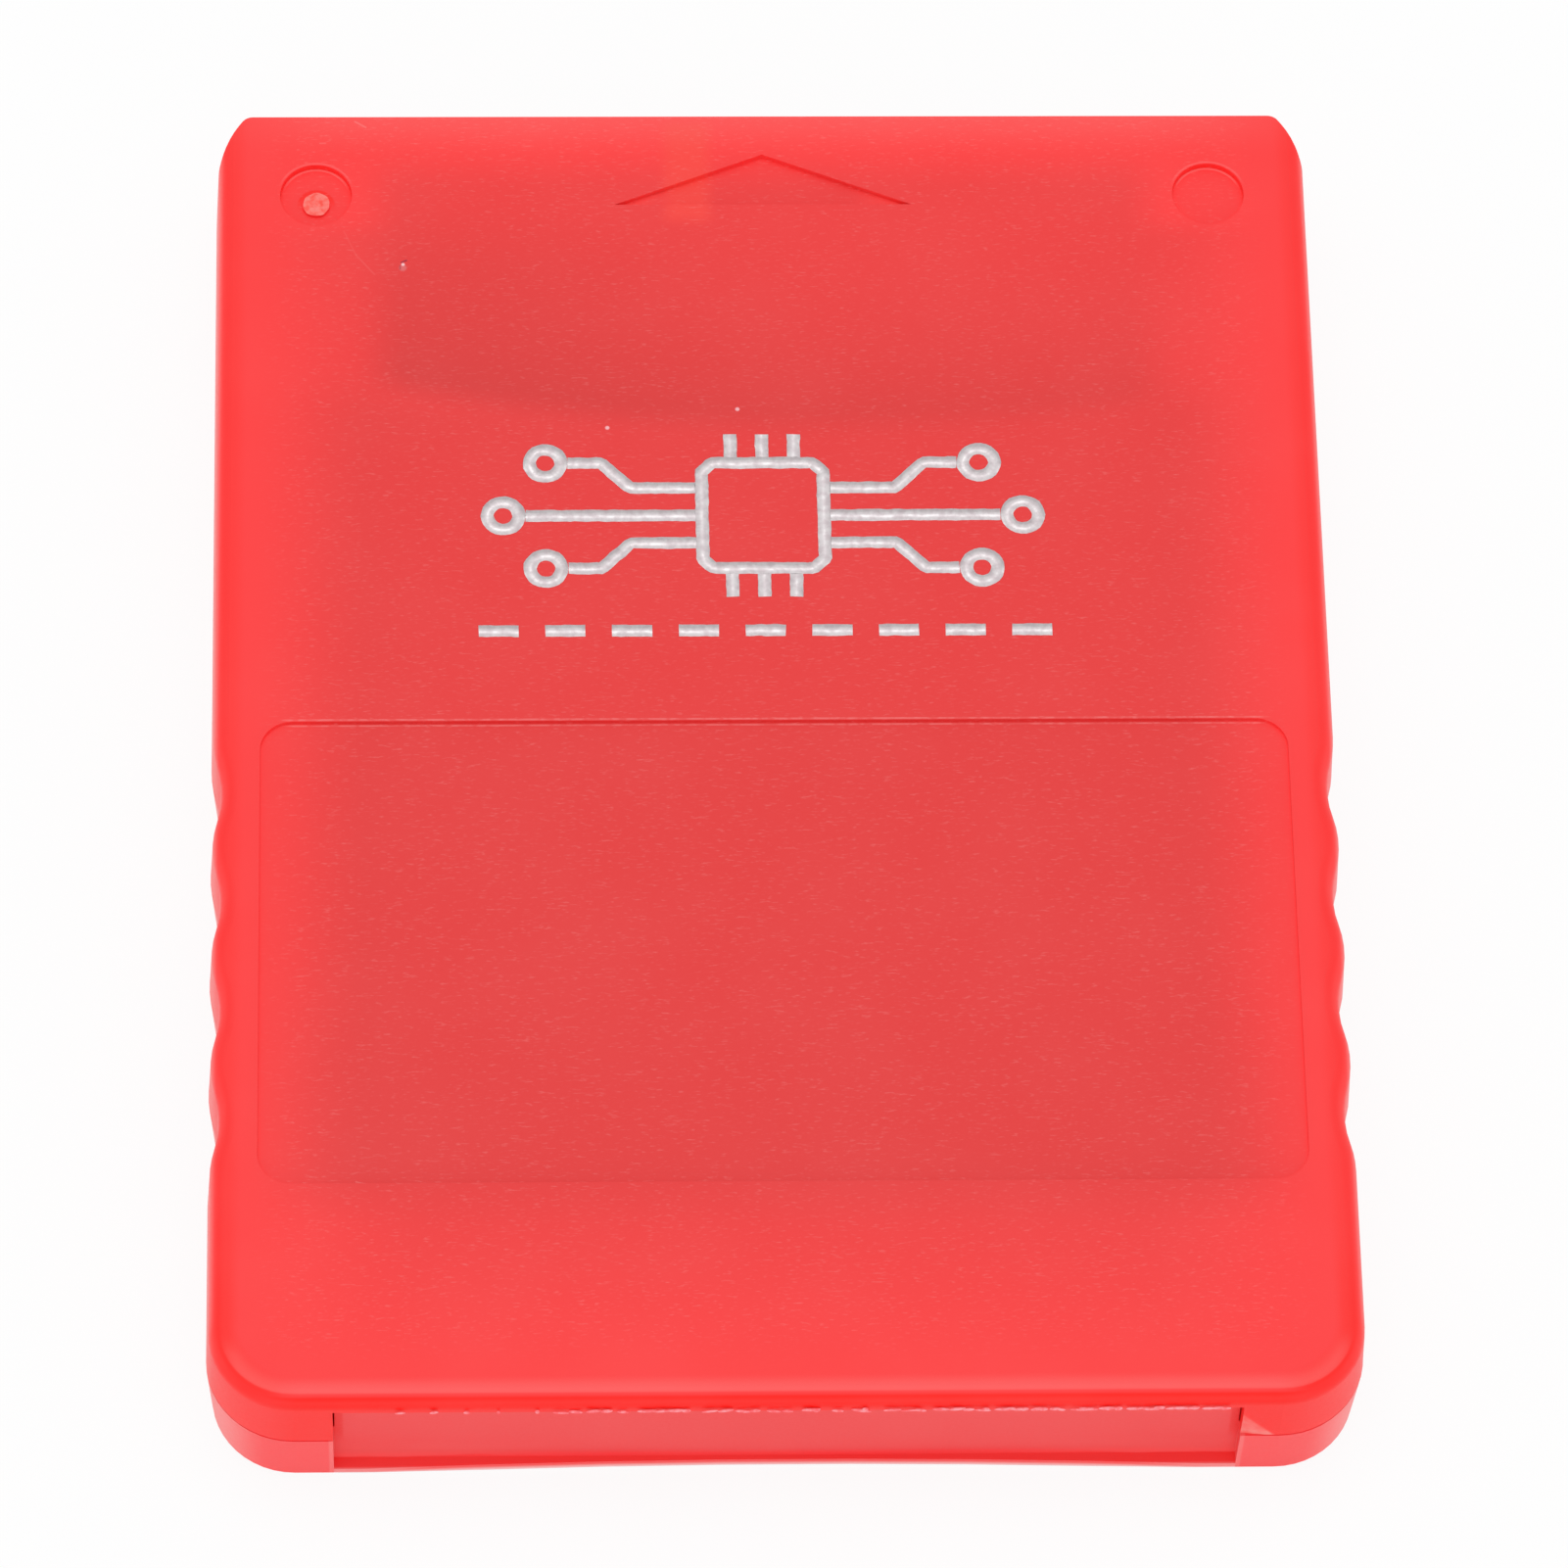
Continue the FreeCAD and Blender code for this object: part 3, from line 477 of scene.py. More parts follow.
BAY_HALF = CARD_SIDE - 6.05
BAY_SIDE = (BAY_HALF - 1.4, BAY_HALF + 0.9)
BAY_BACK = NOSE - 13.5
BAY_FRONT = NOSE - 3.0
BAY_BOW = 1.5
BAY_TILT = 0.026
BAY_EDGE = (0.3, -1.3)
BAY_FRONT_SHADE = 0.60
BAY_BACK_SHADE = 0.58
BAY_LEFT = (-13.0, 3.0)
BAY_LEFT_DEPTH = (0.45, 0.0)
BAY_LEFT_SHADE = 0.30
NOSE_SHADOW = (NOSE - 3.7, NOSE - 1.3)


def inside_shade(tree, x, y):
    """How far the painted shade of the inside darkens the cover: nothing over its solid rim, most at the back
    of the bay.
    """
    from_middle = calculate(tree, "ABSOLUTE", x)
    bow = calculate(tree, "POWER", calculate(tree, "DIVIDE", from_middle, BAY_HALF), 2.0)
    back = calculate(tree, "MULTIPLY_ADD", bow, BAY_BOW, BAY_BACK)
    level = calculate(tree, "MULTIPLY_ADD", x, BAY_TILT, y)
    into_bay = fade(tree, calculate(tree, "SUBTRACT", level, back), *BAY_EDGE)
    bay = product(tree, fade(tree, from_middle, *BAY_SIDE), into_bay)
    span = {"Value": y, "From Min": BAY_FRONT, "From Max": BAY_BACK}
    depth = put(tree, "ShaderNodeMapRange", span).outputs[0]
    left = product(tree, fade(tree, x, *BAY_LEFT), fade(tree, depth, *BAY_LEFT_DEPTH), BAY_LEFT_SHADE)
    thin = calculate(tree, "POWER", depth, 2.0)
    thin = calculate(tree, "MULTIPLY_ADD", thin, BAY_BACK_SHADE, BAY_FRONT_SHADE)
    thin = product(tree, total(tree, thin, left), fade(tree, y, *NOSE_SHADOW))
    return blend_value(tree, bay, board_shade(tree, x, y), thin)


SIDE_EDGE = (CARD_SIDE - 2.0, CARD_SIDE - 3.6)
WALL_RISE = (TOP - 0.30, TOP - 0.70)
WALL_DEEP = 0.85
BAND_RISE = (TOP - 0.12, TOP - 0.045)
BAND_INSET = (1.3, 1.5)
BAND_TAIL = (TAIL + 2.5, TAIL + 5.0)
BAND_AT_SIDE = 0.65
EDGE_INNER = (0.75, 1.35)
EDGE_OUTER = (0.45, 0.20)
EDGE_TAIL = (TAIL + 2.5, TAIL + 9.0)
EDGE_DEEP = 0.40
EDGE_TAIL_DEEP = 0.75


def deep_rim(tree, x, y, z):
    """How far a painted shade deepens the red along the rounded rim, where the plastic is looked through
    edgeways.
    """
    rim = inset(tree, x, y)
    at_side = fade(tree, calculate(tree, "ABSOLUTE", x), *SIDE_EDGE)
    wall = blend_value(tree, fade(tree, z, *WALL_RISE), WALL_DEEP, 1.0)
    band = product(tree, fade(tree, z, *BAND_RISE), wall, fade(tree, rim, *BAND_INSET))
    band = product(tree, band, fade(tree, y, *BAND_TAIL), blend_value(tree, at_side, 1.0, BAND_AT_SIDE))
    strength = blend_value(tree, fade(tree, y, *EDGE_TAIL), EDGE_DEEP, EDGE_TAIL_DEEP)
    edge = product(tree, fade(tree, rim, *EDGE_INNER), fade(tree, rim, *EDGE_OUTER), at_side, strength)
    return calculate(tree, "MAXIMUM", band, edge)


BRINK_INSET = (0.70, 1.25)
BRINK_RISE = (TOP - 0.015, TOP - 0.045)
BRINK_SIDE = (CARD_SIDE - 1.4, CARD_SIDE - 0.2)
BRINK_TAIL = (TAIL + 2.0, TAIL + 3.0)
BRINK_PALE = 0.16
NOSE_EDGE = (NOSE, NOSE - 2.1)
NOSE_SIDE = (CARD_SIDE - 6.0, CARD_SIDE + 2.0)
NOSE_PALE = 0.13
COVER_WALL_DEPTH = 0.36
COVER_WALL_PALE = 0.35
COVER_WALL_TAIL = (TAIL + 3.7, TAIL + 1.7)


def pale_rim(tree, x, y, z):
    """Painted light where light would leave the cover: a highlight at the brink of the tail and at the nose,
    and a glow through the side walls.
    """
    from_middle = calculate(tree, "ABSOLUTE", x)
    brink = product(tree, fade(tree, inset(tree, x, y), *BRINK_INSET), fade(tree, z, *BRINK_RISE))
    brink = product(tree, brink, fade(tree, from_middle, *BRINK_SIDE), fade(tree, y, *BRINK_TAIL), BRINK_PALE)
    nose = product(tree, fade(tree, y, *NOSE_EDGE), fade(tree, from_middle, *NOSE_SIDE), NOSE_PALE)
    walls = side_glow(tree, x, y, COVER_WALL_DEPTH, COVER_WALL_PALE)
    walls = product(tree, walls, fade(tree, y, *COVER_WALL_TAIL))
    return total(tree, walls, brink, nose)


LABEL_LINES = (0.06, -0.11)
LABEL_LINE_HALF = 0.05
LABEL_LINE_ENDS = (LABEL_HALF[0] - 1.24, LABEL_HALF[0] - 0.54)
LABEL_LINE_GRAIN = 0.4 * MM
LABEL_LINE_NOISE = (0.60, 0.40)
LABEL_LINE_FAINT = 0.35
LABEL_LINE_PALE = 0.30


def label_lines(tree, x, y, place):
    """Painted highlights along the label's far edge, in two broken lines where light would leave the cover.
    """
    broken = fade(tree, noise_at(tree, place, LABEL_LINE_GRAIN), *LABEL_LINE_NOISE)
    broken = blend_value(tree, broken, LABEL_LINE_FAINT, 1.0)
    ends = fade(tree, calculate(tree, "ABSOLUTE", x), *LABEL_LINE_ENDS)
    past_edge = calculate(tree, "SUBTRACT", y, LABEL_MIDDLE[1] + LABEL_HALF[1])
    lines = total(tree, *(line_at(tree, past_edge, line, LABEL_LINE_HALF) for line in LABEL_LINES))
    return product(tree, lines, ends, broken, LABEL_LINE_PALE)


MARK_X = CARD_SIDE - 3.87
MARK_Y = NOSE - 3.72
MARK_PLACES = ((-MARK_X, MARK_Y), (MARK_X, MARK_Y))
MARK_RADIUS = 1.38
MARK_BRINK = (0.02, 0.04)
MARK_RISE = (TOP - 0.04, TOP - 0.01)
MARK_DEEP = 0.4
MARK_RIM = 0.07
MARK_RIM_HALF = 0.05
MARK_FOOT = -0.07
MARK_FOOT_HALF = 0.06
MARK_FOOT_GAIN = 2.5
MARK_FAR_SIDE = (1.0, 0.3)
MARK_PALE = 0.14
STUB_PLACE = (-MARK_X, MARK_Y - 0.31)
STUB_RING = 0.60
STUB_RING_HALF = 0.16
STUB_BEHIND = (STUB_PLACE[1] + 0.4, STUB_PLACE[1] - 0.3)
STUB_DEEP = 0.9


def deep_marks(tree, x, y, z):
    """How far a painted shade deepens the red behind the stub and at the brink of the round marks."""
    ring = line_at(tree, distance(tree, x, y, STUB_PLACE), STUB_RING, STUB_RING_HALF)
    deep = product(tree, ring, fade(tree, y, *STUB_BEHIND), STUB_DEEP)
    for mark in MARK_PLACES:
        off_wall = calculate(tree, "SUBTRACT", distance(tree, x, y, mark), MARK_RADIUS)
        brink = fade(tree, calculate(tree, "ABSOLUTE", off_wall), *MARK_BRINK)
        brink = product(tree, brink, fade(tree, z, *MARK_RISE), MARK_DEEP)
        deep = calculate(tree, "MAXIMUM", deep, brink)
    return deep


def pale_marks(tree, x, y):
    """Painted highlights round the far side of the round marks, at their rim and their foot, where light
    would leave the cover.
    """
    arcs = []
    for mark in MARK_PLACES:
        off_wall = calculate(tree, "SUBTRACT", distance(tree, x, y, mark), MARK_RADIUS)
        foot = product(tree, line_at(tree, off_wall, MARK_FOOT, MARK_FOOT_HALF), MARK_FOOT_GAIN)
        lines = total(tree, line_at(tree, off_wall, MARK_RIM, MARK_RIM_HALF), foot)
        far_side = fade(tree, calculate(tree, "SUBTRACT", y, mark[1]), *MARK_FAR_SIDE)
        arcs.append(product(tree, lines, far_side, MARK_PALE))
    return total(tree, *arcs)


SPOT_CORE = 0.4
SCRATCH_HALF = 0.06
SCRATCHES = (
    ((-15.64, 27.14), (-15.23, 26.88), 0.30),
    ((-16.98, 26.15), (-16.78, 26.16), 0.20),
    ((-15.55, -18.42), (-15.27, -18.50), 0.25),
    ((-16.06, 22.17), (-15.60, 21.10), 0.06),
    ((-15.60, 21.10), (-14.90, 20.23), 0.09),
)
SPECKS = ((-6.08, 13.36), (-1.14, 14.17))
SPECK_RADIUS = 0.11
SPECK_SHARE = 0.8
PIT_PLACE = Vector((-13.80, 20.66, TOP))
PIT_RADIUS = 0.09
PIT_GLINT_AND_SPECK = (0.95, 0.55, 0.58, 1.0)
PIT_HAZE_PLACE = Vector((-13.81, 20.51, TOP))
PIT_HAZE_RADIUS = 0.20
PIT_HAZE_SHARE = 0.5
PIT_HAZE = (0.70, 0.22, 0.23, 1.0)
PIT_STROKES = (((-13.86, 20.76), (-13.67, 20.84), 0.9), ((-13.91, 20.60), (-13.91, 20.46), 0.5))
PIT_DARK = (0.25, 0.004, 0.03, 1.0)


def spot(tree, place, centre, radius):
    """A soft round spot."""
    gap = put(tree, "ShaderNodeVectorMath", {0: place, 1: centre * MM}, operation="DISTANCE")
    return fade(tree, gap.outputs["Value"], SPOT_CORE * radius * MM, radius * MM)


def stroke(tree, place, begin, end):
    """A soft straight scratch, laid out in plan."""
    begin, end = (Vector((*point, 0.0)) * MM for point in (begin, end))
    run = end - begin
    plan = put(tree, "ShaderNodeVectorMath", {0: place, 1: (1, 1, 0)}, operation="MULTIPLY").outputs[0]
    offset = put(tree, "ShaderNodeVectorMath", {0: plan, 1: begin}, operation="SUBTRACT").outputs[0]
    onto_run = {0: offset, 1: run / run.length_squared}
    along = put(tree, "ShaderNodeVectorMath", onto_run, operation="DOT_PRODUCT")
    share = blend_value(tree, along.outputs["Value"], 0.0, 1.0)
    nearest = put(tree, "ShaderNodeVectorMath", {0: run, "Scale": share}, operation="SCALE").outputs[0]
    gap = put(tree, "ShaderNodeVectorMath", {0: offset, 1: nearest}, operation="DISTANCE")
    return fade(tree, gap.outputs["Value"], 0.0, SCRATCH_HALF * MM)


def wear_and_painted_pit_light(tree, place, red):
    """The scratches and the pale specks on the top face, and the pit, painted as a glint of light over a haze
    with dark strokes of painted shade. Each scratch ends in its strength.
    """
    for begin, end, strength in SCRATCHES:
        red = blend_colour(tree, product(tree, stroke(tree, place, begin, end), strength), red, SHELL_PALE)
    for speck in SPECKS:
        # Pale specks on the top face.
        speck_spot = product(tree, spot(tree, place, Vector((*speck, TOP)), SPECK_RADIUS), SPECK_SHARE)
        red = blend_colour(tree, speck_spot, red, PIT_GLINT_AND_SPECK)
    # The pit, painted: a haze below it, a glint of painted light and dark strokes of painted shade at its
    # edge.
    haze = product(tree, spot(tree, place, PIT_HAZE_PLACE, PIT_HAZE_RADIUS), PIT_HAZE_SHARE)
    red = blend_colour(tree, haze, red, PIT_HAZE)
    red = blend_colour(tree, spot(tree, place, PIT_PLACE, PIT_RADIUS), red, PIT_GLINT_AND_SPECK)
    for begin, end, strength in PIT_STROKES:
        red = blend_colour(tree, product(tree, stroke(tree, place, begin, end), strength), red, PIT_DARK)
    return red


FLAKE_FOOT = Vector((WINDOW_HALF + 1.0, TAIL, SEAM))
FLAKE_SIDE = Vector((WINDOW_HALF, TAIL + 0.14, SEAM))
FLAKE_TIP = Vector((WINDOW_HALF + 0.12, TAIL, SEAM + 2.1))
FLAKE_SKIN = (0.02 * MM, 0.05 * MM)
FLAKE_REACH = 2.0
FLAKE_GRAIN = 0.3 * MM
FLAKE_FAINT = 0.3
FLAKE_RISE = (SEAM + 0.2, SEAM + 0.7)
FLAKE_UPPER = 0.55
FLAKE_WHITE = (0.95, 0.30, 0.27, 1.0)


def torn_colour(tree, place, red):
    """Whitish on the facet where the flake broke off, most at its foot."""
    normal = (FLAKE_SIDE - FLAKE_FOOT).cross(FLAKE_TIP - FLAKE_FOOT).normalized()
    offset = put(tree, "ShaderNodeVectorMath", {0: place, 1: FLAKE_FOOT * MM}, operation="SUBTRACT")
    above = put(tree, "ShaderNodeVectorMath", {0: offset.outputs[0], 1: normal}, operation="DOT_PRODUCT")
    on_facet = fade(tree, calculate(tree, "ABSOLUTE", above.outputs["Value"]), *FLAKE_SKIN)
    centre = (FLAKE_FOOT + FLAKE_SIDE + FLAKE_TIP) / 3
    mottle = blend_value(tree, noise_at(tree, place, FLAKE_GRAIN), FLAKE_FAINT, 1.0)
    foot = blend_value(tree, fade(tree, millimetres(tree, place)["Z"], *FLAKE_RISE), FLAKE_UPPER, 1.0)
    torn = product(tree, on_facet, spot(tree, place, centre, FLAKE_REACH), mottle, foot)
    return blend_colour(tree, torn, red, FLAKE_WHITE)


KEY_PLACE = (-2.9, NOSE - 2.7)
KEY_HALF = (0.85, 2.2)
KEY_BLUR = 0.4
KEY_SHARE = 0.7
KEY_GLOW = (0.95, 0.055, 0.040, 1.0)
ARROW_MIDDLE = (0.0, NOSE - 3.0)
ARROW_HALF = (6.0, 1.4)
ARROW_BLUR = 0.2
ARROW_ENDS = (5.0, 3.0)
ARROW_FLOOR = (TOP - 0.04, TOP - 0.005)
ARROW_SHARE = 0.7
ARROW_TIP_RED = (1.0, 0.060, 0.058, 1.0)


def cover_ground(tree, place):
    """The cover's red, with the painted shade of the inside, painted light over the key rib and in the
    arrow's tips, painted light and shade on its edges and marks, and its wear.
    """
    x, y, z = millimetres(tree, place)
    shade = calculate(tree, "DIVIDE", inside_shade(tree, x, y), SHADE_RANGE)
    red = blend_colour(tree, shade, SHELL_RED, SHELL_SHADED)
    # Painted light: a lighter patch over the key rib inside.
    key = product(tree, soft_box(tree, x, y, KEY_PLACE, KEY_HALF, KEY_BLUR), KEY_SHARE)
    red = blend_colour(tree, key, red, KEY_GLOW)
    # Painted light on the arrow's floor near its tips, where the walls of the narrow pocket would shade it.
    tips = fade(tree, calculate(tree, "ABSOLUTE", x), *ARROW_ENDS)
    tips = product(tree, tips, soft_box(tree, x, y, ARROW_MIDDLE, ARROW_HALF, ARROW_BLUR))
    tips = product(tree, tips, fade(tree, z, *ARROW_FLOOR), ARROW_SHARE)
    red = blend_colour(tree, tips, red, ARROW_TIP_RED)
    # Painted shade deepens the red along the rim and the marks, and painted light pales it along the rim, the
    # label and the marks.
    deep = calculate(tree, "MAXIMUM", deep_rim(tree, x, y, z), deep_marks(tree, x, y, z))
    red = blend_colour(tree, deep, red, SHELL_DEEP)
    pale = total(tree, pale_rim(tree, x, y, z), label_lines(tree, x, y, place), pale_marks(tree, x, y))
    red = blend_colour(tree, pale, red, SHELL_PALE)
    return torn_colour(tree, place, wear_and_painted_pit_light(tree, place, red))


dress("upper_shell", frosted_red("upper_shell_plastic", cover_ground))

# Gate scar: the torn top of the stub in the left mark, where the runner of the mould was snapped off.
# The plastic is crazed there, so it looks paler than the cover round it.
SCAR_RED = (0.98, 0.075, 0.05, 1.0)
SCAR_WHITE = (0.98, 0.22, 0.19, 1.0)
SCAR_GRAIN = 0.25 * MM
SCAR_ROUGHNESS = 0.55
STUB_TOP = TOP - 0.14
SCAR_PLACE = Vector((*STUB_PLACE, STUB_TOP + 0.002))
SCAR_RADIUS = 0.52
SCAR_HEIGHT = 0.06
SCAR_RAGGED = 0.14
SCAR_RAGGED_SCALE = 1.7
SCAR_RAGGED_LEVEL = 2.0
SCAR_BUMP_MIDDLE = 0.5
SCAR_BUMP_LEAST = 0.05
SCAR_BUMPS = ((1.0, 5.0), (0.4, 14.0))
SCAR_FALL = 4
SCAR_RINGS = 8
SCAR_SEGMENTS = 40


def scar_point(ring, segment):
    """A place on one of the rings of the torn top. A bump has its size and how closely it repeats."""
    angle = 2 * math.pi * segment / SCAR_SEGMENTS
    spoke = Vector((math.cos(angle), math.sin(angle), SCAR_RAGGED_LEVEL))
    ragged = noise.noise(spoke * SCAR_RAGGED_SCALE)
    reach = SCAR_RADIUS * ring / SCAR_RINGS * (1 + SCAR_RAGGED * ragged)
    point = Vector((reach * math.cos(angle), reach * math.sin(angle), 0.0))
    bump = SCAR_BUMP_MIDDLE + sum(size * noise.noise(point * often) for size, often in SCAR_BUMPS)
    fall = 1.0 - (ring / SCAR_RINGS) ** SCAR_FALL
    point.z = SCAR_HEIGHT * max(bump, SCAR_BUMP_LEAST) * fall
    return SCAR_PLACE + point


def scar_faces():
    """Faces between the rings, round the middle point and across the underside."""
    faces = [(0, 1 + spoke, 1 + (spoke + 1) % SCAR_SEGMENTS) for spoke in range(SCAR_SEGMENTS)]
    for ring in range(SCAR_RINGS - 1):
        inner, outer = 1 + ring * SCAR_SEGMENTS, 1 + (ring + 1) * SCAR_SEGMENTS
        for segment in range(SCAR_SEGMENTS):
            after = (segment + 1) % SCAR_SEGMENTS
            faces.append((inner + segment, outer + segment, outer + after, inner + after))
    last_ring = 1 + (SCAR_RINGS - 1) * SCAR_SEGMENTS
    faces.append([last_ring + segment for segment in reversed(range(SCAR_SEGMENTS))])
    return faces


def add_piece(name, mesh):
    """Links a mesh as a piece that rides on the card."""
    piece = bpy.data.objects.new(name, mesh)
    bpy.context.scene.collection.objects.link(piece)
    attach(piece, "root")


scar_points = [SCAR_PLACE + Vector((0.0, 0.0, SCAR_HEIGHT / 2))]
for ring in range(1, SCAR_RINGS + 1):
    scar_points += [scar_point(ring, segment) for segment in range(SCAR_SEGMENTS)]
scar_mesh = bpy.data.meshes.new("gate_scar")
scar_mesh.from_pydata([point * MM for point in scar_points], [], scar_faces())
scar_mesh.materials.append(mottled("gate_scar", SCAR_RED, SCAR_WHITE, SCAR_GRAIN, SCAR_ROUGHNESS))
add_piece("gate_scar", scar_mesh)

# Mould flash: thin whitish flakes of plastic squeezed out along the top edge of the tail window, few at
# its left end, close in its middle and nearly unbroken at its right end.
FLASH_PALE = (0.97, 0.33, 0.37, 1.0)
FLASH_PINK = (0.97, 0.12, 0.14, 1.0)
FLASH_GRAIN = 0.2 * MM
FLASH_ROUGHNESS = 0.5
FLASH_ROWS = ((-14.2, -8.9, 5, 0.40), (-8.3, 6.5, 26, 0.75), (6.9, 15.8, 27, 0.85))
FLASH_HEIGHT = TOP - 0.61
FLASH_IN = 0.03
FLASH_SHORTEST = 0.25
FLASH_THINNEST = (0.07, 0.07)
FLASH_THICKEST = (0.12, 0.19)
FLASH_SHIFT = Vector((0.25, 0.02, 0.05))
FLASH_TURN = Vector((0.4, 0.06, 0.12))
FLASH_BALL_RADIUS = 0.5
FLASH_BALL_FINENESS = 3


def new_group(name, inputs):
    """A geometry node group with named inputs, and the sockets at its two ends."""
    group = bpy.data.node_groups.new(name, "GeometryNodeTree")
    group.interface.new_socket("Geometry", in_out="INPUT", socket_type="NodeSocketGeometry")
    for label, kind in inputs.items():
        group.interface.new_socket(label, in_out="INPUT", socket_type=kind)
    group.interface.new_socket("Geometry", in_out="OUTPUT", socket_type="NodeSocketGeometry")
    return group, put(group, "NodeGroupInput").outputs, put(group, "NodeGroupOutput").inputs


def finish_group(group, shape, material, made):
    """Makes what a group has shaped real, gives it its material and hands it over."""
    real = put(group, "GeometryNodeRealizeInstances", {0: shape})
    painted = put(group, "GeometryNodeSetMaterial", {"Geometry": real.outputs[0], "Material": material})
    group.links.new(painted.outputs[0], made[0])


def grow(name, group, values, points=(), edges=()):
    """The mesh that a node group makes from points and edges with these values on its inputs."""
    seed_mesh = bpy.data.meshes.new(name)
    seed_mesh.from_pydata([point * MM for point in points], edges, [])
    source = bpy.data.objects.new(name, seed_mesh)
    bpy.context.scene.collection.objects.link(source)
    modifier = source.modifiers.new(name, "NODES")
    modifier.node_group = group
    for item in group.interface.items_tree:
        if item.in_out == "INPUT" and item.name in values:
            modifier[item.identifier] = values[item.name]
    graph = bpy.context.evaluated_depsgraph_get()
    mesh = bpy.data.meshes.new_from_object(source.evaluated_get(graph))
    bpy.data.objects.remove(source)
    return mesh


def flake_row_group(material):
    """Sets flakes of random length, thickness and tilt along a line."""
    inputs = {"Start": "NodeSocketVector", "End": "NodeSocketVector", "Count": "NodeSocketInt",
              "Smallest": "NodeSocketVector", "Largest": "NodeSocketVector", "Shift": "NodeSocketVector",
              "Turn": "NodeSocketVector", "Seed": "NodeSocketInt"}
    group, given, made = new_group("flake_row", inputs)

    def random_vector(low, high):
        """A random vector between two others, a new one for each flake."""
        limits = {"Min": low, "Max": high, "Seed": given["Seed"]}
        return put(group, "FunctionNodeRandomValue", limits, data_type="FLOAT_VECTOR").outputs[0]

    def either_way(most):
        """A random vector of at most this much, one way or the other."""
        back = put(group, "ShaderNodeVectorMath", {0: most, "Scale": -1.0}, operation="SCALE").outputs[0]
        return random_vector(back, most)

    ends = {"Count": given["Count"], "Start Location": given["Start"], "Offset": given["End"]}
    line = put(group, "GeometryNodeMeshLine", ends, mode="END_POINTS")
    shift = {"Geometry": line.outputs[0], "Offset": either_way(given["Shift"])}
    moved = put(group, "GeometryNodeSetPosition", shift)
    round_body = {"Radius": FLASH_BALL_RADIUS, "Subdivisions": FLASH_BALL_FINENESS}
    ball = put(group, "GeometryNodeMeshIcoSphere", round_body)
    flakes = {"Points": moved.outputs[0], "Instance": ball.outputs[0],
              "Scale": random_vector(given["Smallest"], given["Largest"]),
              "Rotation": either_way(given["Turn"])}
    placed = put(group, "GeometryNodeInstanceOnPoints", flakes)
    finish_group(group, placed.outputs[0], material, made)
    return group


flash_plastic = mottled("flash_plastic", FLASH_PALE, FLASH_PINK, FLASH_GRAIN, FLASH_ROUGHNESS)
flash_group = flake_row_group(flash_plastic)
for number, (begin, end, count, longest) in enumerate(FLASH_ROWS, start=1):
    name = f"mould_flash_{number}"
    place = [Vector((x, TAIL + FLASH_IN, FLASH_HEIGHT)) * MM for x in (begin, end)]
    values = {"Start": place[0], "End": place[1], "Count": count, "Seed": number,
              "Smallest": Vector((FLASH_SHORTEST * longest, *FLASH_THINNEST)) * MM,
              "Largest": Vector((longest, *FLASH_THICKEST)) * MM,
              "Shift": FLASH_SHIFT * MM, "Turn": FLASH_TURN}
    add_piece(name, grow(name, flash_group, values))

# Foil mark: a plain silver pattern stamped onto the cover with hot foil, a chip symbol with its traces
# above a row of dashes.
FOIL_SILVER = (0.80, 0.75, 0.76, 1.0)
FOIL_GREY = (0.66, 0.58, 0.60, 1.0)
FOIL_GRAIN = 0.3 * MM
FOIL_ROUGHNESS = 0.45
FOIL_METALLIC = 0.6
FOIL_MIDDLE = Vector((-0.25, NOSE - 18.0, TOP + 0.004))
FOIL_THICKNESS = 0.016
FOIL_LINE = 0.5
FOIL_STEP = 0.15
FOIL_RAGGED = 0.05
FOIL_RIPPLE = 0.35
FOIL_RIPPLE_DETAIL = 2.0
SYMBOL_HALF = 2.3
SYMBOL_CUT = 0.4
LEG_PITCH = 1.2
LEG_REACH = 1.0
TRACE_BEND = 5.0
TRACE_SPREAD = 2.3
TRACE_ENDS = (8.2, 9.8, 8.2)
RING_RADIUS = 0.6
RING_POINTS = 20
DASH_COUNT = 9
DASH_PITCH = 2.5
DASH_LENGTH = 1.5
DASH_DROP = 5.0


def foil_paths():
    """The middle lines of the pattern, as lists of points and whether each is closed."""
    edge = SYMBOL_HALF + FOIL_LINE / 2
    long, short = SYMBOL_HALF, SYMBOL_HALF - SYMBOL_CUT
    quarter = [(long, short), (short, long)]
    half = quarter + [(-x, y) for x, y in reversed(quarter)]
    paths = [(half + [(-x, -y) for x, y in half], True)]
    for row in (-1, 0, 1):
        offset, fan = row * LEG_PITCH, row * TRACE_SPREAD
        slant = abs(fan - offset)
        ring_x = TRACE_ENDS[row + 1]
        trace_end = ring_x - RING_RADIUS - FOIL_LINE / 2
        for sign in (-1, 1):
            paths.append(([(offset, sign * edge), (offset, sign * (edge + LEG_REACH))], False))
            trace = [(edge, offset), (TRACE_BEND, offset), (TRACE_BEND + slant, fan), (trace_end, fan)]
            paths.append(([(sign * x, y) for x, y in trace], False))
            ring = []
            for point in range(RING_POINTS):
                angle = 2 * math.pi * point / RING_POINTS
                across, along = RING_RADIUS * math.cos(angle), RING_RADIUS * math.sin(angle)
                ring.append((sign * ring_x + across, fan + along))
            paths.append((ring, True))
    for dash in range(DASH_COUNT):
        start = (dash - (DASH_COUNT - 1) / 2) * DASH_PITCH - DASH_LENGTH / 2
        paths.append(([(start, -DASH_DROP), (start + DASH_LENGTH, -DASH_DROP)], False))
    return paths


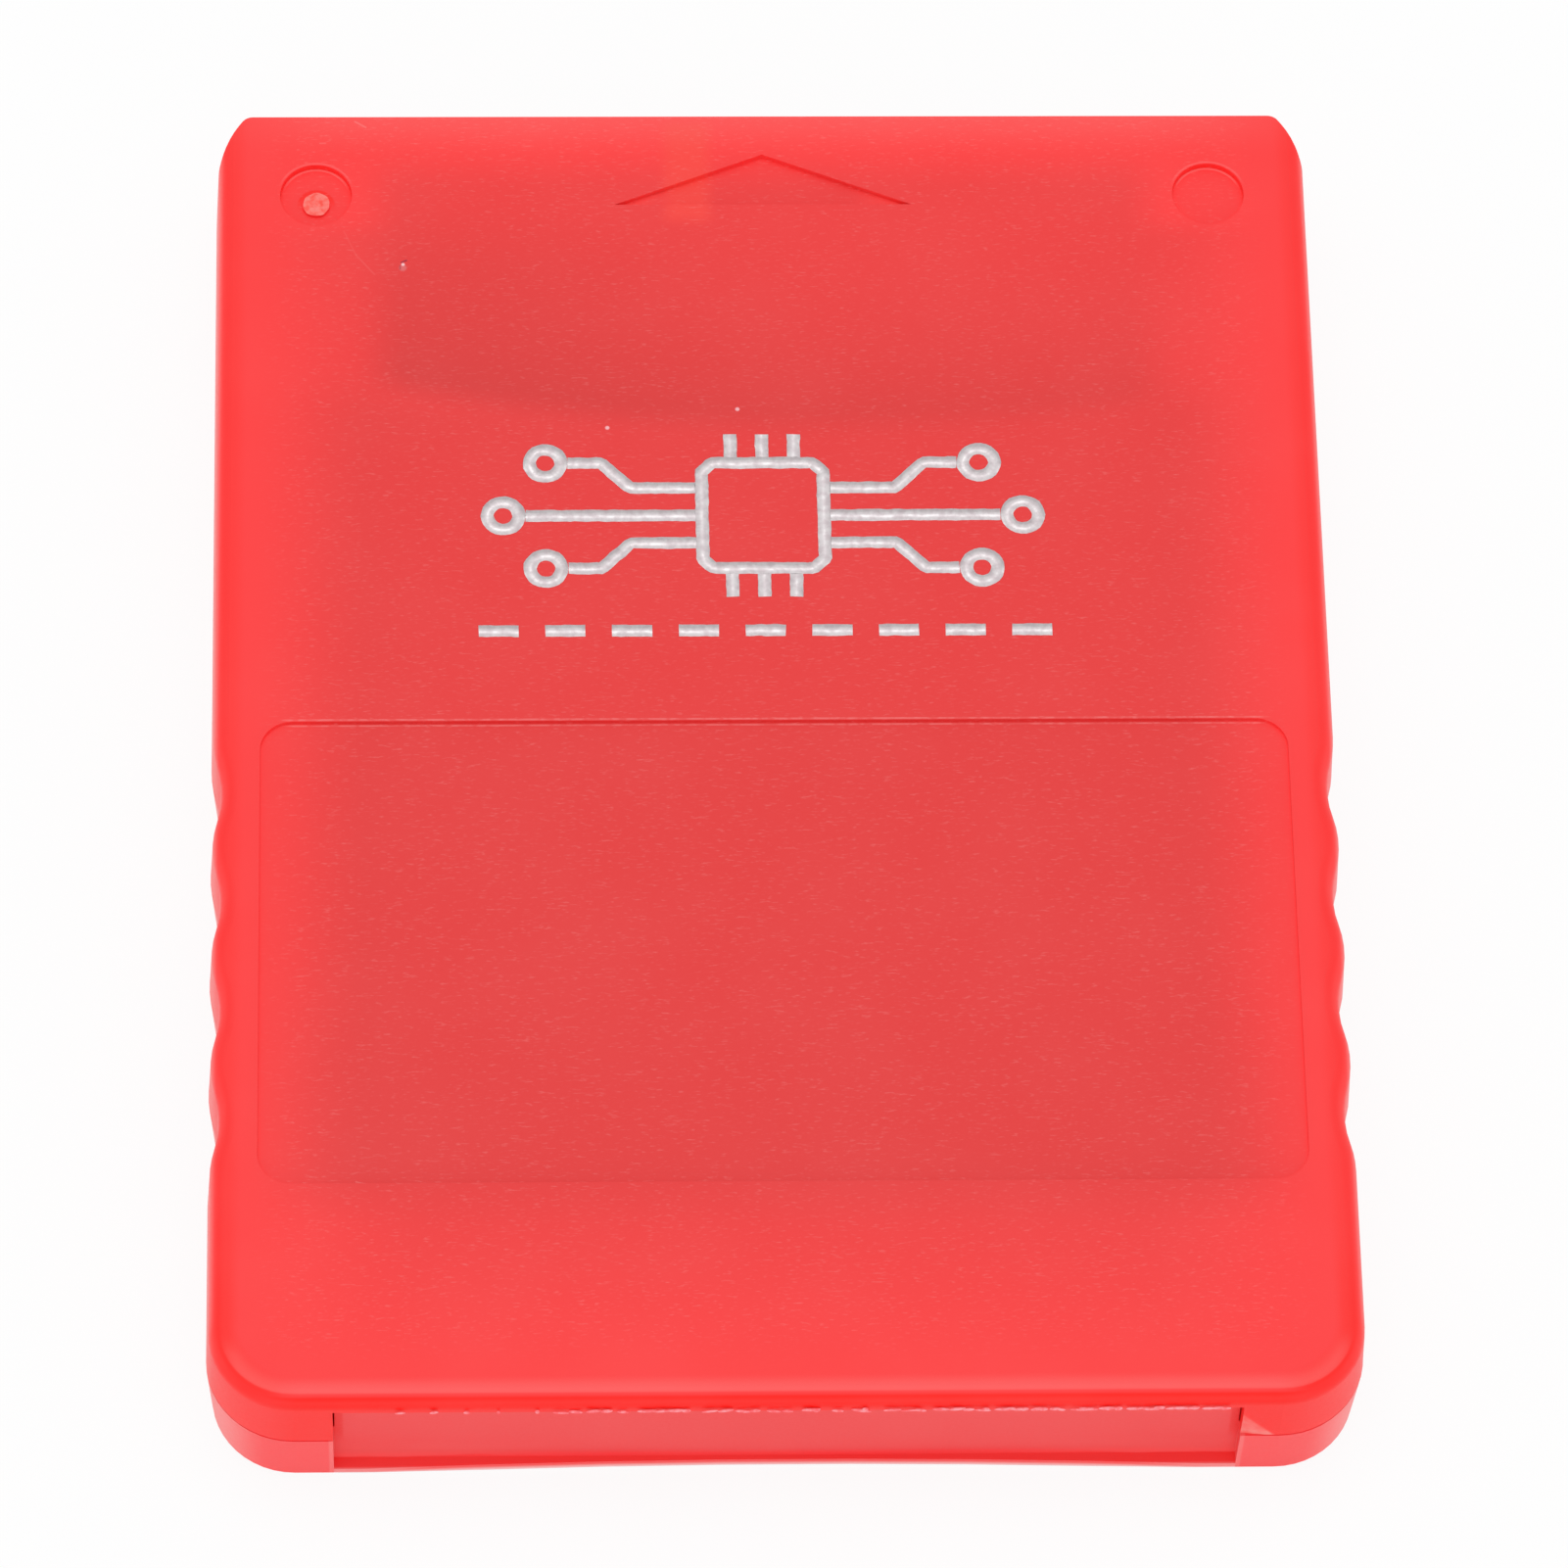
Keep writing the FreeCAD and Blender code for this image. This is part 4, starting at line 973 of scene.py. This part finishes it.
def strip_group(material):
    """Makes each chain of edges a flat strip with slightly ragged sides."""
    names = ("Width", "Thickness", "Step", "Ragged", "Ripple")
    group, given, made = new_group("foil_strips", dict.fromkeys(names, "NodeSocketFloat"))
    chain = put(group, "GeometryNodeMeshToCurve", {"Mesh": given["Geometry"]})
    pieces = {"Curve": chain.outputs[0], "Length": given["Step"]}
    fine = put(group, "GeometryNodeResampleCurve", pieces, mode="LENGTH")
    level = put(group, "GeometryNodeSetCurveNormal", {"Curve": fine.outputs[0]}, mode="Z_UP")
    across = {"Width": given["Width"], "Height": given["Thickness"]}
    section = put(group, "GeometryNodeCurvePrimitiveQuadrilateral", across)
    sweep = {"Curve": level.outputs[0], "Profile Curve": section.outputs[0], "Fill Caps": True}
    strip = put(group, "GeometryNodeCurveToMesh", sweep)
    often = calculate(group, "DIVIDE", 1.0, given["Ripple"])
    ripple = put(group, "ShaderNodeTexNoise", {"Scale": often, "Detail": FOIL_RIPPLE_DETAIL})
    about_zero = {0: ripple.outputs["Color"], 1: (2.0, 2.0, 0.0), 2: (-1.0, -1.0, 0.0)}
    level_push = put(group, "ShaderNodeVectorMath", about_zero, operation="MULTIPLY_ADD").outputs[0]
    push = put(group, "ShaderNodeVectorMath", {0: level_push, "Scale": given["Ragged"]}, operation="SCALE")
    torn = put(group, "GeometryNodeSetPosition", {"Geometry": strip.outputs[0], "Offset": push.outputs[0]})
    finish_group(group, torn.outputs[0], material, made)
    return group


foil = mottled("silver_foil", FOIL_SILVER, FOIL_GREY, FOIL_GRAIN, FOIL_ROUGHNESS, FOIL_METALLIC)
foil_points, foil_edges = [], []
for path, closed in foil_paths():
    first = len(foil_points)
    foil_points += [FOIL_MIDDLE + Vector((x, y, 0)) for x, y in path]
    foil_edges += [(index, index + 1) for index in range(first, len(foil_points) - 1)]
    if closed:
        foil_edges.append((len(foil_points) - 1, first))
values = {"Width": FOIL_LINE * MM, "Thickness": FOIL_THICKNESS * MM, "Step": FOIL_STEP * MM,
          "Ragged": FOIL_RAGGED * MM, "Ripple": FOIL_RIPPLE * MM}
add_piece("foil_mark", grow("foil_mark", strip_group(foil), values, foil_points, foil_edges))

# Floor: a plain sheet of white paper that the card lies on. The camera, and what mirrors the sheet, see
# even white with a small share of the lit paper, which keeps the card's shadow.
FLOOR_HALF = 2.0
FLOOR_DROP = 0.02 * MM
FLOOR_WHITE = (0.92, 0.92, 0.92, 1.0)
FLOOR_ROUGHNESS = 0.9
FLOOR_GLOW = 0.90
floor_mesh = bpy.data.meshes.new("floor")
floor_signs = ((-1, -1), (1, -1), (1, 1), (-1, 1))
floor_corners = [(x * FLOOR_HALF, y * FLOOR_HALF, -FLOOR_DROP) for x, y in floor_signs]
floor_mesh.from_pydata(floor_corners, [], [(0, 1, 2, 3)])
floor = bpy.data.objects.new("floor", floor_mesh)
bpy.context.scene.collection.objects.link(floor)
white, tree, sheet, place = new_material("white_sheet")
sheet.inputs["Base Color"].default_value = FLOOR_WHITE
sheet.inputs["Roughness"].default_value = FLOOR_ROUGHNESS
sheet.inputs["Specular IOR Level"].default_value = 0.0
rays = put(tree, "ShaderNodeLightPath").outputs
mirrored = calculate(tree, "MAXIMUM", rays["Is Glossy Ray"], rays["Is Transmission Ray"])
seen = calculate(tree, "MAXIMUM", rays["Is Camera Ray"], mirrored)
glow = put(tree, "ShaderNodeEmission", {"Strength": 1.0})
share = product(tree, seen, FLOOR_GLOW)
mixed = put(tree, "ShaderNodeMixShader", {0: share, 1: sheet.outputs[0], 2: glow.outputs[0]})
tree.links.new(mixed.outputs[0], tree.nodes["Material Output"].inputs["Surface"])
floor_mesh.materials.append(white)

# Light tent: white cloth all round the sheet, which glows evenly, with a softbox above the card and low
# panels in front of it and at its sides. Places and sizes are in metres, powers in watts.
TENT_WHITE = (1.0, 1.0, 1.0, 1.0)
TENT_GLOW = 0.78
LAMPS = {
    "softbox": ((-0.05, 0.10, 0.80), 0.6, 0.5, 1.3),
    "front_panel": ((0.0, -0.70, 0.14), 0.7, 0.2, 0.7),
    "left_panel": ((-0.70, 0.0, 0.14), 0.7, 0.2, 0.5),
    "right_panel": ((0.70, 0.0, 0.14), 0.7, 0.2, 0.5),
}
tent = bpy.data.worlds.new("tent")
tent.use_nodes = True
cloth = tent.node_tree.nodes["Background"]
cloth.inputs["Color"].default_value = TENT_WHITE
cloth.inputs["Strength"].default_value = TENT_GLOW
bpy.context.scene.world = tent


def panel_lamp(name, place, width, height, power):
    """A flat lamp that faces the card."""
    lamp = bpy.data.lights.new(name, "AREA")
    lamp.shape = "RECTANGLE"
    lamp.size = width
    lamp.size_y = height
    lamp.energy = power
    holder = bpy.data.objects.new(name, lamp)
    holder.location = place
    holder.rotation_euler = (-Vector(place)).to_track_quat("-Z", "Y").to_euler()
    bpy.context.scene.collection.objects.link(holder)


for name, lamp in LAMPS.items():
    panel_lamp(name, *lamp)

# Camera: the viewing angle of the photograph, from above the tail end and a little to one side. Its place
# and its lens come from a fit to the outline of the card.
VIEW_AZIMUTH = math.radians(-4.065)
VIEW_ELEVATION = math.radians(60.989)
VIEW_ROLL = math.radians(3.332)
VIEW_DISTANCE = 370 * MM
VIEW_TARGET = Vector((0.539, 1.239, 0.0)) * MM
SENSOR = 36.0
LENS = 224.61
right = Vector((math.cos(VIEW_AZIMUTH), math.sin(VIEW_AZIMUTH), 0.0))
level_back = Vector((math.sin(VIEW_AZIMUTH), -math.cos(VIEW_AZIMUTH), 0.0))
back = level_back * math.cos(VIEW_ELEVATION) + Vector((0.0, 0.0, math.sin(VIEW_ELEVATION)))
turn = Matrix.Rotation(VIEW_ROLL, 3, back)
axes = Matrix((turn @ right, turn @ back.cross(right), back)).transposed()
view = bpy.data.cameras.new("camera")
view.sensor_width = SENSOR
view.lens = LENS
camera = bpy.data.objects.new("camera", view)
camera.matrix_world = Matrix.Translation(VIEW_TARGET + back * VIEW_DISTANCE) @ axes.to_4x4()
bpy.context.scene.collection.objects.link(camera)
bpy.context.scene.camera = camera
bpy.context.scene.view_settings.view_transform = "Standard"
